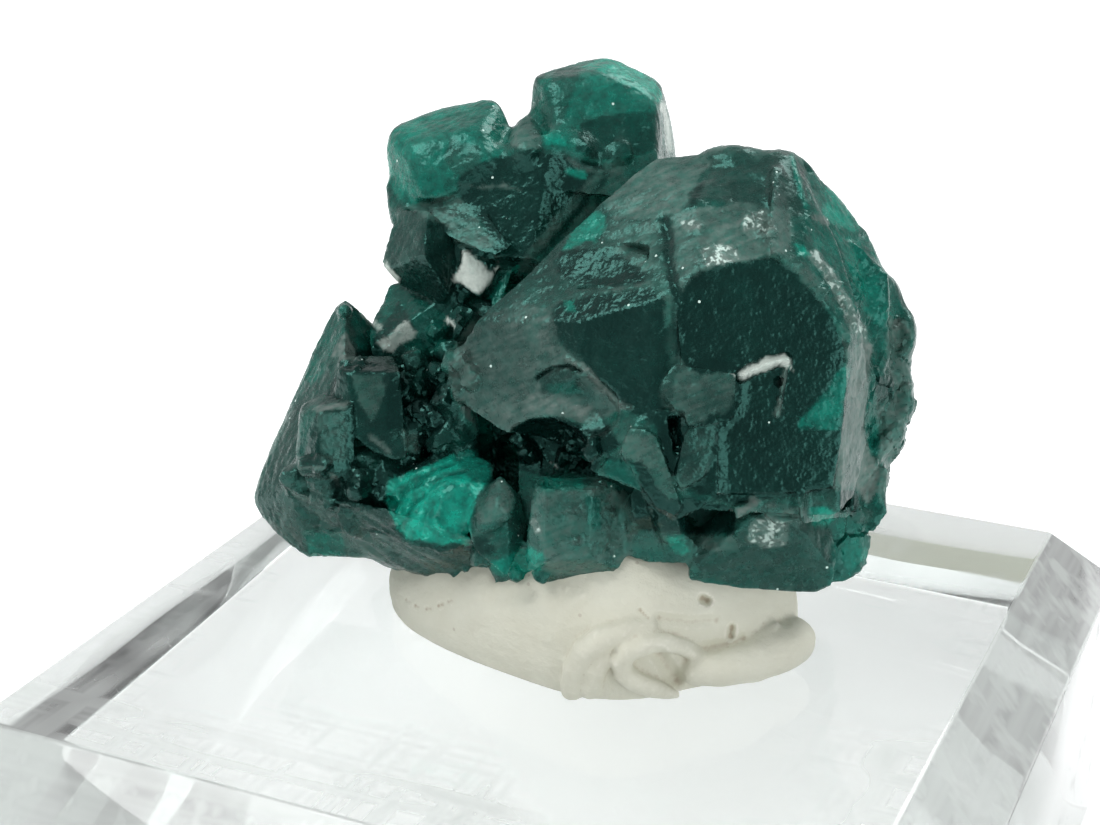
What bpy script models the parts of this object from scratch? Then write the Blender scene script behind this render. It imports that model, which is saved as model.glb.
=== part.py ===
"""A dioptase specimen: crystals grown together, pressed into mineral putty on a bevelled acrylic base.

Run it with blender --background --python part.py, or from Blender's text editor. Lengths below are in
millimetres, and each mesh is made in metres. +X runs along the base's front edge, +Y towards its back and +Z
up, with the origin at the middle of the base's underside.

The crystals are laid out in the front view, as someone sees them who looks down at the specimen from its front:
x to the right, h up across the line of sight and d away from the viewer, from the middle of the base's top.
"""

import math
import random
from collections import namedtuple

import bmesh
import bpy
from mathutils import Matrix, Vector

MM = 0.001

# The base is a 1.25 inch square block of clear acrylic with its top edges bevelled.
BASE_SIDE = 31.75
BASE_HEIGHT = 12.7
BEVEL_RUN = 2.2
BEVEL_DROP = 2.4

# The front view looks down by SIGHT_DROP, and the specimen is turned on its base by SPECIMEN_TURN (degrees).
SIGHT_DROP = 21.79
SPECIMEN_TURN = 24.57

# Space between two pieces that touch.
GAP = 0.3

# A dioptase crystal is a six-sided prism with three faces at each end, this far from square to the long axis.
END_FACE_TILT = 51.0

# Spread of a crystal's face distances about their mean, as a share, from one face to the next.
FACE_SPREAD = 0.07

# Every crystal is cut out of a cube this wide, by planes that treat points this close as lying on them.
BLANK_SIDE = 60
CUT_TOLERANCE = 1e-6

# How finely the shell-shaped breaks and the lumps of putty are rounded.
SCOOP_ROUNDING = 2
LUMP_ROUNDING = 3

# A block is a crystal that has been broken or hemmed in, given by its faces as they show from the front.
#   outline  corners (x, h, d) of its widest section, in order round it; the flanks run back from here
#   far      depth of its hidden end
#   faces    each is three points (x, h, d) that the face passes through
Block = namedtuple("Block", "outline far faces")

# A crystal has its own regular faces.
#   at       its middle (x, h, d)
#   lean     bearing of its long axis in the front view, from +x towards +h, and how far it points forward
#   spin     turn about the long axis
#   side     distance from the axis to its prism faces
#   reach    distance from its middle to the end faces
Crystal = namedtuple("Crystal", "at lean spin side reach")

# A scoop is a shell-shaped break: an ellipsoid's middle (x, h, d), its radii, and its turn in the front view.
Scoop = namedtuple("Scoop", "at radii turn")

BLOCKS = {
    # The big dark crystal at the right, nearest the viewer.
    "front_crystal": Block(
        [(-3.7, 7.8, -5.0), (-3.4, 8.9, -5.0), (-2.6, 9.8, -5.5), (-0.6, 12.5, -5.0), (1.4, 14.5, -5.0),
         (2.8, 14.9, -5.3), (4.2, 15.0, -5.8), (5.5, 15.1, -6.5), (6.8, 14.9, -6.5), (7.4, 14.5, -6.4),
         (8.1, 11.9, -7.0), (9.2, 9.1, -7.4), (9.2, 6.1, -7.4), (8.6, 4.5, -7.4), (7.8, 4.0, -8.0),
         (4.0, 4.2, -8.0), (-2.0, 6.4, -6.0), (-2.9, 7.0, -5.5)],
        0.5,
        [[(3.1, 11.2, -9.0), (8.3, 9.1, -9.0), (4.0, 4.2, -8.7)],
         [(3.1, 11.2, -9.0), (6.9, 11.5, -9.0), (5.5, 14.7, -6.6)],
         [(6.9, 11.5, -9.0), (8.3, 9.1, -9.0), (8.0, 11.8, -7.9)],
         [(8.3, 9.1, -9.0), (8.2, 5.6, -8.8), (9.1, 9.0, -7.6)],
         [(2.9, 10.2, -9.0), (3.0, 7.9, -9.0), (0.3, 8.8, -7.8)],
         [(1.4, 14.5, -5.0), (5.6, 15.1, -6.0), (3.0, 12.6, -8.0)],
         [(1.4, 14.5, -5.0), (-2.6, 9.8, -5.8), (2.9, 10.3, -9.0)],
         [(-3.7, 8.2, -5.0), (0.5, 8.6, -7.9), (-1.0, 7.0, -6.8)]]),
    # Its green right-hand rim.
    "right_rim": Block(
        [(6.6, 14.2, -5.8), (7.6, 14.3, -5.7), (8.0, 14.1, -5.6), (8.7, 13.7, -5.4), (9.2, 12.9, -5.2),
         (9.8, 12.1, -5.0), (10.3, 11.0, -4.8), (10.8, 9.5, -4.8), (10.9, 8.9, -4.8), (10.8, 7.0, -4.8),
         (10.5, 6.0, -4.8), (10.2, 4.9, -5.0), (9.9, 4.1, -5.2), (9.4, 3.8, -5.5), (7.6, 4.2, -5.6),
         (7.0, 9.0, -5.6)],
        0.8,
        [[(8.0, 14.1, -5.9), (9.2, 12.9, -5.4), (7.6, 12.4, -7.4)],
         [(10.2, 11.1, -5.1), (10.8, 8.6, -5.0), (8.6, 9.8, -7.4)],
         [(10.8, 8.0, -5.0), (10.2, 5.2, -5.1), (8.8, 6.4, -7.2)]]),
    "step_lump": Block(
        [(2.8, 7.7, -9.2), (3.2, 8.3, -9.2), (4.9, 8.0, -9.3), (4.8, 6.8, -9.3), (3.6, 6.6, -9.2)],
        -7.5,
        [[(3.0, 8.0, -9.4), (4.9, 8.0, -9.7), (3.9, 6.6, -9.8)]]),
    "bar_crystal": Block(
        [(1.6, 6.0, -8.0), (2.2, 6.6, -8.2), (2.9, 6.9, -8.4), (4.3, 6.8, -8.6), (4.2, 4.6, -8.2),
         (3.7, 4.2, -8.0), (3.2, 3.9, -7.8), (2.5, 4.3, -7.8)],
        -4.0,
        [[(1.6, 6.0, -8.2), (2.9, 6.4, -9.2), (3.7, 4.5, -9.2)],
         [(3.4, 6.6, -9.1), (4.3, 6.7, -9.4), (4.1, 4.7, -9.3)]]),
    "lower_right": Block(
        [(3.8, 3.2, -6.5), (5.2, 4.2, -7.0), (5.9, 4.4, -7.0), (7.3, 4.2, -7.0), (8.0, 3.6, -7.0),
         (8.3, 2.7, -6.8), (8.1, 1.7, -6.4), (7.7, 1.5, -6.2), (5.4, 1.6, -6.2), (3.9, 1.9, -6.2)],
        -0.5,
        [[(5.1, 4.1, -7.2), (7.1, 4.1, -7.4), (6.5, 4.8, -5.5)],
         [(4.2, 2.9, -7.4), (7.7, 3.2, -7.6), (6.2, 1.6, -6.7)],
         [(4.8, 4.0, -7.0), (4.2, 2.4, -7.2), (3.8, 3.2, -6.4)],
         [(7.4, 4.0, -7.3), (7.8, 2.4, -7.3), (8.2, 3.0, -6.8)]]),
    "right_lobe": Block(
        [(7.0, 4.2, -5.8), (8.8, 4.0, -5.9), (9.4, 3.7, -5.7), (9.6, 2.9, -5.5), (9.4, 2.3, -5.5),
         (8.7, 1.8, -5.6), (7.2, 1.7, -5.6)],
        -0.8,
        [[(8.0, 4.2, -6.7), (9.2, 3.8, -6.3), (8.5, 2.2, -6.2)],
         [(9.1, 3.8, -6.3), (9.2, 2.4, -6.0), (9.6, 3.0, -5.7)]]),
    # Along the bottom, from right to left.
    "low_plate": Block(
        [(1.6, 2.6, -5.8), (2.5, 3.3, -6.2), (3.5, 3.4, -6.6), (3.9, 2.9, -6.6), (3.6, 2.4, -6.2),
         (2.6, 2.4, -5.8)],
        -2.0,
        [[(1.7, 2.6, -6.0), (3.5, 3.2, -6.9), (3.4, 2.5, -6.7)]]),
    "middle_block": Block(
        [(-0.8, 5.0, -6.2), (1.1, 5.0, -6.2), (2.3, 4.2, -5.8), (2.2, 3.1, -5.6), (1.7, 2.4, -5.4),
         (1.1, 1.8, -5.2), (-0.6, 1.7, -5.0), (-1.1, 2.3, -5.6), (-1.1, 3.3, -6.0)],
        -0.5,
        [[(-0.8, 4.9, -6.2), (1.0, 4.9, -6.2), (0.8, 4.6, -7.0)],
         [(-0.6, 4.6, -7.0), (0.8, 4.6, -7.0), (0.2, 2.4, -6.8)],
         [(0.8, 4.6, -7.0), (0.6, 2.4, -6.9), (2.3, 4.0, -6.0)],
         [(-0.6, 4.6, -7.0), (-0.5, 2.4, -6.9), (-1.2, 3.6, -6.2)],
         [(-0.4, 2.5, -6.9), (0.8, 2.5, -6.9), (0.4, 1.8, -5.7)]]),
    "kite_crystal": Block(
        [(-2.0, 4.9, -5.2), (-1.4, 4.3, -5.0), (-1.2, 3.2, -5.0), (-1.9, 2.2, -4.8), (-2.7, 2.8, -4.8),
         (-3.0, 3.6, -5.0), (-2.5, 4.5, -5.2)],
        -1.5,
        [[(-2.0, 4.8, -5.5), (-2.8, 3.6, -5.4), (-1.8, 2.8, -5.9)],
         [(-1.9, 4.8, -5.6), (-1.8, 2.8, -6.0), (-1.3, 3.8, -5.2)]]),
    "low_green": Block(
        [(-2.4, 2.2, -4.4), (-1.8, 2.8, -4.8), (-0.5, 2.7, -5.0), (-0.5, 1.6, -4.4), (-2.1, 1.4, -3.8)],
        -1.0,
        [[(-2.2, 2.2, -4.8), (-0.8, 2.6, -5.5), (-1.2, 1.6, -4.6)]]),
    "bright_chip": Block(
        [(-5.7, 3.9, -3.6), (-5.5, 4.8, -3.6), (-4.9, 5.3, -4.0), (-4.1, 5.5, -4.0), (-2.7, 5.5, -4.0),
         (-2.1, 5.1, -4.2), (-2.5, 4.2, -4.6), (-2.9, 2.9, -4.6), (-3.9, 2.6, -4.2), (-5.1, 3.0, -3.6)],
        -1.0,
        [[(-5.6, 4.1, -3.8), (-4.9, 5.2, -4.1), (-4.4, 3.2, -5.0)],
         [(-4.9, 5.3, -4.1), (-2.7, 5.4, -4.2), (-3.4, 4.6, -5.2)],
         [(-4.2, 4.5, -5.1), (-2.9, 4.6, -5.2), (-3.6, 2.9, -4.9)]]),
    "lower_slab": Block(
        [(-10.1, 3.4, -1.5), (-9.6, 2.8, -1.6), (-8.7, 2.3, -1.6), (-8.1, 2.0, -1.6), (-7.2, 1.9, -1.5),
         (-5.9, 1.8, -1.5), (-5.4, 1.3, -1.4), (-4.9, 1.0, -1.2), (-3.8, 0.9, -1.2), (-2.8, 0.9, -1.5),
         (-1.9, 1.3, -2.0), (-0.8, 1.4, -3.0), (-2.0, 2.4, -4.0), (-5.6, 3.7, -4.0), (-8.8, 4.3, -3.3)],
        1.5,
        [[(-9.4, 3.8, -2.6), (-5.8, 3.4, -4.2), (-4.6, 1.1, -2.0)],
         [(-5.4, 1.4, -2.2), (-2.8, 0.9, -1.9), (-2.4, 2.6, -4.6)],
         [(-9.0, 2.8, -2.2), (-6.0, 2.2, -2.6), (-6.8, 1.9, -1.6)]]),
    # The wedge at the left and the two box-shaped crystals on it.
    "left_wedge": Block(
        [(-7.2, 10.6, -1.5), (-7.7, 10.4, -1.5), (-8.1, 9.5, -1.4), (-8.8, 8.3, -1.4), (-9.7, 6.2, -1.4),
         (-10.0, 5.3, -1.4), (-10.4, 4.1, -1.4), (-10.1, 3.4, -1.5), (-9.6, 2.8, -1.6), (-8.4, 2.2, -1.6),
         (-5.8, 2.2, -1.5), (-4.6, 4.0, -1.5), (-5.4, 8.0, -1.2), (-6.1, 9.6, -0.6)],
        2.2,
        [[(-7.3, 10.5, -1.8), (-10.2, 4.1, -1.6), (-8.2, 5.0, -3.8)],
         [(-7.1, 10.5, -1.9), (-6.2, 9.4, -1.2), (-6.8, 7.0, -3.8)],
         [(-8.4, 4.6, -3.8), (-6.4, 4.6, -4.0), (-8.0, 2.4, -2.2)],
         [(-10.2, 4.0, -1.7), (-8.6, 4.4, -3.7), (-9.0, 2.8, -1.9)],
         [(-7.6, 8.6, -3.3), (-6.7, 8.7, -3.1), (-7.2, 6.0, -3.9)]]),
    "upper_box": Block(
        [(-7.1, 8.4, -3.4), (-6.9, 8.8, -3.0), (-5.5, 8.7, -3.0), (-5.2, 5.6, -3.4), (-6.0, 5.8, -3.8),
         (-7.6, 7.2, -3.3)],
        -0.5,
        [[(-6.9, 8.2, -4.2), (-5.5, 8.2, -4.3), (-6.2, 8.7, -3.1)],
         [(-6.9, 8.2, -4.2), (-5.5, 8.2, -4.3), (-6.0, 6.0, -4.4)],
         [(-6.9, 8.2, -4.2), (-6.6, 6.8, -4.4), (-7.5, 7.2, -3.5)]]),
    "lower_box": Block(
        [(-8.5, 7.1, -3.6), (-7.8, 7.5, -3.4), (-6.9, 7.4, -3.4), (-6.8, 5.4, -3.8), (-7.1, 5.0, -3.8),
         (-8.6, 5.2, -3.6)],
        -1.0,
        [[(-7.7, 6.9, -4.7), (-6.9, 7.0, -4.5), (-7.2, 5.2, -4.5)],
         [(-7.7, 6.9, -4.7), (-7.8, 5.3, -4.7), (-8.5, 6.8, -3.8)],
         [(-7.7, 6.9, -4.7), (-6.9, 7.1, -4.5), (-7.8, 7.4, -3.6)]]),
    # The upper group.
    "upper_left": Block(
        [(-6.0, 15.7, -1.2), (-5.8, 16.3, -1.2), (-5.5, 16.7, -1.2), (-4.1, 17.3, -1.2), (-2.4, 17.5, -1.3),
         (-2.1, 17.3, -1.4), (-1.7, 16.4, -1.6), (-1.9, 15.5, -2.2), (-2.8, 14.7, -2.6), (-3.5, 14.0, -2.6),
         (-5.4, 13.8, -2.0), (-5.8, 14.6, -1.4)],
        3.0,
        [[(-5.0, 15.0, -2.8), (-2.4, 15.6, -3.1), (-3.6, 14.2, -3.1)],
         [(-5.2, 16.3, -1.7), (-2.5, 17.0, -1.7), (-3.8, 15.8, -3.0)],
         [(-5.9, 15.6, -1.4), (-5.4, 14.0, -1.8), (-4.9, 15.2, -2.9)],
         [(-2.1, 17.0, -1.5), (-1.8, 15.6, -2.2), (-2.5, 15.6, -3.1)]]),
    "top_crystal": Block(
        [(-1.1, 16.6, -1.8), (-1.1, 17.4, -1.7), (-0.8, 18.0, -1.4), (-0.4, 18.4, -1.2), (0.9, 18.8, -0.8),
         (1.9, 19.0, -0.7), (2.6, 18.6, -0.8), (3.1, 18.0, -0.8), (3.8, 17.3, 0.6), (3.8, 15.0, 0.6),
         (1.5, 14.4, -1.0), (-0.4, 14.6, -1.0)],
        3.4,
        [[(-0.4, 17.6, -2.8), (2.8, 17.2, -2.9), (1.2, 15.4, -3.2)],
         [(1.2, 18.0, -2.7), (2.8, 17.2, -2.8), (1.9, 18.8, -1.0)],
         [(-0.3, 17.8, -2.6), (1.2, 18.0, -2.7), (0.6, 18.6, -1.2)],
         [(-1.0, 17.2, -1.9), (-1.0, 16.2, -1.9), (-0.4, 17.0, -2.9)],
         [(3.2, 17.4, -2.0), (3.3, 15.6, -2.0), (3.8, 17.2, 0.6)]]),
    "saddle": Block(
        [(-1.9, 15.4, -2.0), (-1.5, 16.6, -1.5), (-1.3, 16.8, -1.5), (-0.8, 16.6, -1.5), (-0.6, 15.3, -2.0)],
        1.5,
        [[(-1.8, 15.6, -2.4), (-0.8, 15.5, -2.5), (-1.3, 16.7, -1.7)]]),
    "upper_body": Block(
        [(-3.2, 15.0, -1.8), (0.5, 15.8, -1.8), (2.4, 15.2, -1.6), (2.4, 12.5, -2.0), (-0.6, 11.2, -1.6),
         (-2.4, 11.2, -1.6), (-3.4, 12.6, -1.6)],
        2.6,
        [[(-2.9, 14.6, -2.9), (-0.6, 14.6, -3.6), (-1.4, 12.0, -3.6)],
         [(-0.6, 14.6, -3.6), (1.6, 14.6, -2.8), (-0.2, 12.4, -3.4)],
         [(-2.4, 12.0, -3.4), (-0.8, 11.6, -3.2), (-1.6, 11.2, -1.8)]]),
    "broken_face": Block(
        [(-5.3, 13.9, -1.9), (-4.1, 14.5, -1.9), (-3.3, 14.4, -2.2), (-2.0, 12.3, -3.0), (-2.5, 12.0, -3.2),
         (-3.6, 12.2, -3.0), (-3.9, 12.8, -2.6), (-5.3, 13.4, -2.0)],
        1.5,
        [[(-5.2, 13.7, -2.3), (-3.6, 14.1, -2.5), (-2.4, 12.2, -4.0)]]),
    "leaning_rhomb": Block(
        [(-5.4, 13.6, -2.2), (-3.8, 12.9, -2.8), (-3.3, 12.2, -2.8), (-3.5, 11.4, -2.6), (-4.0, 10.5, -2.6),
         (-5.4, 11.1, -2.3), (-5.9, 11.9, -2.0), (-5.6, 12.8, -2.0)],
        1.0,
        [[(-5.3, 13.3, -2.6), (-5.9, 11.9, -2.3), (-4.5, 12.0, -4.0)],
         [(-3.8, 12.7, -3.2), (-3.5, 11.6, -3.0), (-4.4, 12.1, -4.0)],
         [(-5.6, 11.4, -2.4), (-4.0, 10.8, -3.2), (-4.4, 11.8, -4.0)]]),
    "neck": Block(
        [(-6.2, 9.7, -1.0), (-5.8, 11.2, -1.0), (-4.0, 11.6, -1.2), (-3.0, 10.8, -1.6), (-3.0, 7.6, -1.4),
         (-5.2, 7.4, -1.2), (-6.0, 9.0, -1.2)],
        2.4,
        [[(-5.9, 9.5, -2.4), (-4.8, 10.0, -2.7), (-5.3, 8.9, -3.3)],
         [(-4.8, 10.0, -2.7), (-3.6, 9.6, -2.5), (-4.2, 8.0, -2.2)]]),
    "pale_face": Block(
        [(-3.9, 11.1, -1.4), (-3.5, 12.6, -1.4), (-1.8, 12.0, -1.4), (-2.4, 10.2, -1.6)],
        1.5,
        [[(-3.7, 11.1, -1.9), (-3.4, 12.3, -1.6), (-2.4, 11.6, -2.3)]]),
    # What the crystals grew on, seen only between them.
    "left_core": Block(
        [(-8.0, 4.0, -0.8), (-6.6, 8.5, -0.6), (-4.5, 13.5, -0.6), (-1.0, 15.0, -1.0), (1.0, 13.0, -1.6),
         (1.5, 4.0, -2.4), (-2.0, 1.6, -1.6), (-5.0, 1.8, -1.0)],
        3.0,
        [[(-7.0, 4.0, -1.6), (-2.0, 3.0, -2.8), (-3.5, 9.0, -1.2)],
         [(-5.0, 12.0, -1.2), (-1.0, 12.0, -1.8), (-3.5, 8.0, -1.3)]]),
    "right_core": Block(
        [(-1.2, 3.0, -4.0), (-1.5, 10.0, -4.4), (2.0, 13.6, -4.4), (6.0, 14.0, -4.6), (9.6, 11.0, -4.0),
         (9.6, 4.0, -4.0), (8.0, 1.8, -4.4), (0.5, 1.9, -4.0)],
        2.4,
        [[(-1.0, 4.0, -4.9), (6.0, 3.0, -5.6), (2.0, 8.0, -5.4)]]),
}

CRYSTALS = [
    # Small crystals in the recess between the wedge, the upper group and the big crystal.
    Crystal((-4.9, 8.1, -2.4), (70, 35), 10, 0.50, 0.75),
    Crystal((-4.2, 7.5, -2.5), (120, 40), 25, 0.55, 0.80),
    Crystal((-5.1, 7.0, -2.8), (95, 20), 40, 0.50, 0.85),
    Crystal((-3.8, 8.7, -2.3), (60, 50), 5, 0.45, 0.70),
    Crystal((-4.3, 6.4, -3.1), (140, 45), 50, 0.60, 0.85),
    Crystal((-5.2, 5.9, -3.2), (80, 30), 15, 0.55, 0.85),
    Crystal((-3.6, 6.9, -3.2), (45, 30), 35, 0.50, 0.80),
    Crystal((-3.3, 5.9, -3.6), (100, 25), 20, 0.55, 0.80),
    Crystal((-5.9, 5.2, -3.5), (160, 35), 45, 0.50, 0.75),
    Crystal((-3.1, 9.6, -2.4), (110, 40), 30, 0.45, 0.70),
    Crystal((-3.0, 8.0, -2.9), (75, 45), 12, 0.50, 0.75),
    # Small crystals between the two upper crystals, and on their faces.
    Crystal((-0.2, 15.4, -3.0), (80, 25), 20, 0.40, 0.60),
    Crystal((0.7, 15.2, -3.1), (110, 40), 40, 0.45, 0.60),
    Crystal((1.6, 15.0, -2.9), (60, 30), 10, 0.45, 0.65),
    Crystal((-1.2, 15.0, -3.1), (95, 35), 55, 0.40, 0.60),
    Crystal((-2.4, 14.9, -2.9), (130, 30), 25, 0.35, 0.55),
    # Small crystals on the wedge's foot and along the lower edge.
    Crystal((-7.6, 4.6, -3.7), (110, 40), 15, 0.50, 0.70),
    Crystal((-8.4, 4.7, -3.2), (150, 30), 35, 0.45, 0.65),
    Crystal((-6.6, 4.4, -3.9), (75, 45), 50, 0.45, 0.65),
    Crystal((-6.8, 3.6, -3.6), (100, 30), 5, 0.40, 0.60),
    Crystal((-2.5, 2.6, -4.6), (240, 40), 30, 0.35, 0.50),
    Crystal((2.5, 3.9, -6.3), (70, 50), 20, 0.60, 0.80),
    Crystal((3.2, 3.6, -6.8), (110, 40), 45, 0.50, 0.70),
    Crystal((5.4, 4.2, -7.3), (95, 35), 10, 0.35, 0.50),
    # Along the right-hand rim, whose ridges are the edges of crystals side by side.
    Crystal((9.9, 10.0, -4.7), (250, 10), 0, 0.60, 0.95),
    Crystal((10.1, 9.0, -4.6), (245, 5), 25, 0.60, 0.95),
    Crystal((10.1, 8.0, -4.7), (250, 5), 10, 0.60, 0.95),
    Crystal((10.0, 7.0, -4.8), (255, 10), 40, 0.60, 0.95),
    Crystal((9.7, 6.0, -5.0), (260, 5), 20, 0.60, 0.85),
    Crystal((9.5, 5.0, -5.2), (265, 5), 50, 0.55, 0.75),
    # The far side, which the photo does not show: crystals of the same kinds.
    Crystal((-6.8, 5.6, 1.4), (200, -40), 15, 1.50, 2.10),
    Crystal((-4.2, 8.2, 2.0), (120, -55), 40, 1.50, 2.20),
    Crystal((-4.6, 5.1, 2.4), (250, -55), 5, 1.80, 2.40),
    Crystal((-3.0, 12.2, 2.2), (100, -40), 25, 1.80, 2.60),
    Crystal((0.4, 9.0, 3.0), (60, -60), 10, 2.20, 2.90),
    Crystal((1.2, 13.4, 2.2), (80, -35), 50, 1.60, 2.40),
    Crystal((0.0, 5.5, 2.6), (280, -50), 30, 2.00, 2.60),
    Crystal((4.2, 6.0, 2.4), (300, -45), 20, 2.20, 3.00),
    Crystal((4.6, 11.0, 1.6), (50, -40), 35, 2.20, 3.10),
    Crystal((7.8, 8.6, 0.6), (10, -45), 0, 2.00, 2.80),
    Crystal((7.6, 4.6, -0.6), (330, -40), 45, 1.60, 2.20),
    Crystal((7.2, 11.4, -1.6), (40, -45), 25, 1.30, 1.90),
    Crystal((-7.9, 4.0, 0.6), (210, -50), 30, 1.10, 1.50),
]

SCOOPS = [
    # On the big crystal's upper left face, its left lobe and the ragged gap below that.
    Scoop((0.9, 11.4, -7.4), (1.90, 0.80, 0.95), 8),
    Scoop((0.2, 7.0, -8.2), (1.50, 1.15, 0.95), 0),
    Scoop((-0.6, 5.7, -7.2), (1.60, 1.10, 1.90), -10),
    # The pit by the right lobe, and the bright chip's shell-shaped break.
    Scoop((8.5, 4.3, -7.2), (0.40, 0.45, 0.70), 0),
    Scoop((-3.7, 4.3, -5.9), (1.10, 0.90, 0.90), 20),
]

# Notches, given in the same way as blocks: the stepped one in the big front face, the wedge between the bars,
# and the bright hollow at the front face's right.
NOTCHES = [
    Block([(5.0, 8.1, -9.6), (6.7, 8.7, -9.6), (6.3, 6.9, -9.6), (5.0, 6.7, -9.6)], -8.6,
          [[(5.1, 8.0, -9.0), (6.6, 8.6, -9.0), (5.8, 7.7, -8.6)]]),
    Block([(2.8, 6.9, -9.6), (3.5, 7.0, -9.6), (3.6, 4.5, -9.6), (3.4, 4.4, -9.6)], -8.2, []),
    Block([(7.0, 6.8, -9.4), (7.6, 7.7, -9.4), (8.3, 8.0, -9.4), (8.3, 6.5, -9.4), (7.0, 6.4, -9.4)], -8.7,
          [[(7.0, 6.6, -8.9), (8.3, 7.9, -8.5), (8.2, 6.5, -8.4)]]),
]

# The faces that close a block's hidden end: five in a ring at these bearings in the front view, turned by
# END_TURN for each corner of its outline, facing away from the viewer by END_FACING, and END_REACH of the way
# from its middle to its furthest corner. END_CAP is the bearing and facing of the last one, across the tip.
END_BEARINGS = (20, 92, 164, 236, 308)
END_TURN = 37
END_FACING = 42
END_REACH = 0.80
END_CAP = (315, -82)

# How much a block's flanks draw in on the way to its hidden end, in degrees.
FLANK_TAPER = 12

# The putty pad's outline on the base, in the specimen's frame: x to the viewer's right and y away.
TACK_OUTLINE = [(-5.8, 1.4), (-5.6, -0.4), (-4.2, -2.2), (-2.0, -4.0), (0.4, -5.5), (2.4, -5.7), (4.4, -4.9),
                (6.6, -4.2), (7.6, -2.4), (7.4, 0.8), (5.2, 3.0), (1.4, 3.6), (-3.2, 3.2)]

# The pad is lower at the specimen's left. Its side swells out from TACK_LOW_ANGLE below its widest level.
TACK_LOW_END = -5.5
TACK_HIGH_END = 1.0
TACK_LOW_HEIGHT = 2.8
TACK_HIGH_HEIGHT = 4.8
TACK_LOW_ANGLE = -20
TACK_SQUARENESS = 0.45
TACK_RINGS = 8
TACK_SIDES = 39

# Lumps of putty on the pad, as middle, radii and turn: a folded flap and its curl at the front, and a tongue at
# the right.
TACK_LUMPS = (
    ((1.5, -4.6, 1.6), (1.2, 1.3, 2.1), -20),
    ((3.0, -4.9, 1.0), (1.1, 0.8, 1.1), 10),
    ((6.9, -3.7, 1.1), (1.1, 1.4, 1.2), 10),
)


def remove_all_objects():
    """Start from an empty scene."""
    for thing in list(bpy.data.objects):
        bpy.data.objects.remove(thing, do_unlink=True)


def material(name, colour, roughness, transmission=0.0, ior=1.5):
    """A Principled material of one colour."""
    made = bpy.data.materials.new(name)
    made.use_nodes = True
    shader = made.node_tree.nodes["Principled BSDF"]
    shader.inputs["Base Color"].default_value = (*colour, 1.0)
    shader.inputs["Roughness"].default_value = roughness
    shader.inputs["Metallic"].default_value = 0.0
    shader.inputs["Transmission Weight"].default_value = transmission
    shader.inputs["IOR"].default_value = ior
    made.diffuse_color = (*colour, 1.0)
    return made


def object_from(name, work, finish=None):
    """An object made of a bmesh in millimetres."""
    mesh = bpy.data.meshes.new(name)
    bmesh.ops.recalc_face_normals(work, faces=work.faces)
    bmesh.ops.scale(work, vec=(MM, MM, MM), verts=work.verts)
    work.to_mesh(mesh)
    work.free()
    made = bpy.data.objects.new(name, mesh)
    bpy.context.scene.collection.objects.link(made)
    if finish:
        mesh.materials.append(finish)
    return made


def front_view_to_part():
    """The matrix that takes a point (x, h, d) of the front view to the part's own frame."""
    drop = math.radians(SIGHT_DROP)
    across = Vector((1, 0, 0))
    upward = Vector((0, math.sin(drop), math.cos(drop)))
    away = Vector((0, math.cos(drop), -math.sin(drop)))
    axes = Matrix((across, upward, away)).transposed().to_4x4()
    turn = Matrix.Rotation(math.radians(SPECIMEN_TURN), 4, "Z")
    lift = Matrix.Translation((0, 0, BASE_HEIGHT))
    return lift @ turn @ axes


def direction(bearing, facing):
    """A unit vector in the front view: its bearing from +x towards +h, and how far it points forward."""
    bearing = math.radians(bearing)
    facing = math.radians(facing)
    level = math.cos(facing)
    return Vector((level * math.cos(bearing), level * math.sin(bearing), -math.sin(facing)))


def cut_away(work, point, normal):
    """Cut off what lies beyond a plane, and close the cut."""
    geometry = work.verts[:] + work.edges[:] + work.faces[:]
    cut = bmesh.ops.bisect_plane(work, geom=geometry, dist=CUT_TOLERANCE, plane_co=point, plane_no=normal,
                                 clear_outer=True)
    rim = [part for part in cut["geom_cut"] if isinstance(part, bmesh.types.BMEdge)]
    if rim:
        bmesh.ops.contextual_create(work, geom=rim)


def cleave(planes, middle):
    """The solid that is left of a large cube when each plane (point, outward normal) has cut it."""
    work = bmesh.new()
    bmesh.ops.create_cube(work, size=BLANK_SIDE, matrix=Matrix.Translation(middle))
    for point, normal in planes:
        cut_away(work, point, normal)
    return work


def block_planes(block, grow=0.0):
    """The planes of a block's flanks, faces and hidden end, each moved out by grow."""
    corners = [Vector(corner) for corner in block.outline]
    centre = sum(corners, Vector()) / len(corners)
    middle = Vector((centre.x, centre.y, (centre.z + block.far) / 2))
    planes = []
    inward = math.tan(math.radians(FLANK_TAPER))
    for corner, after in zip(corners, corners[1:] + corners[:1]):
        along = (after - corner).normalized()
        out = along.cross(Vector((0, 0, 1))).normalized()
        if out.dot(corner - centre) < 0:
            out.negate()
        normal = along.cross(Vector((0, 0, 1)) - out * inward).normalized()
        if normal.dot(out) < 0:
            normal.negate()
        planes.append((corner, normal))
    for first, second, third in block.faces:
        first, second, third = Vector(first), Vector(second), Vector(third)
        normal = (second - first).cross(third - first).normalized()
        if normal.dot(first - middle) < 0:
            normal.negate()
        planes.append((first, normal))
    behind = [Vector((corner.x, corner.y, block.far)) for corner in corners]
    for bearing in END_BEARINGS:
        normal = direction(bearing + END_TURN * len(corners), -END_FACING)
        reach = max(normal.dot(corner - middle) for corner in behind)
        planes.append((middle + normal * reach * END_REACH, normal))
    planes.append((Vector((centre.x, centre.y, block.far)), direction(*END_CAP)))
    return [(point + normal * grow, normal) for point, normal in planes], middle


def block_mesh(block, grow=0.0):
    """A block's solid, in the front view."""
    planes, middle = block_planes(block, grow)
    return cleave(planes, middle)


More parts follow.
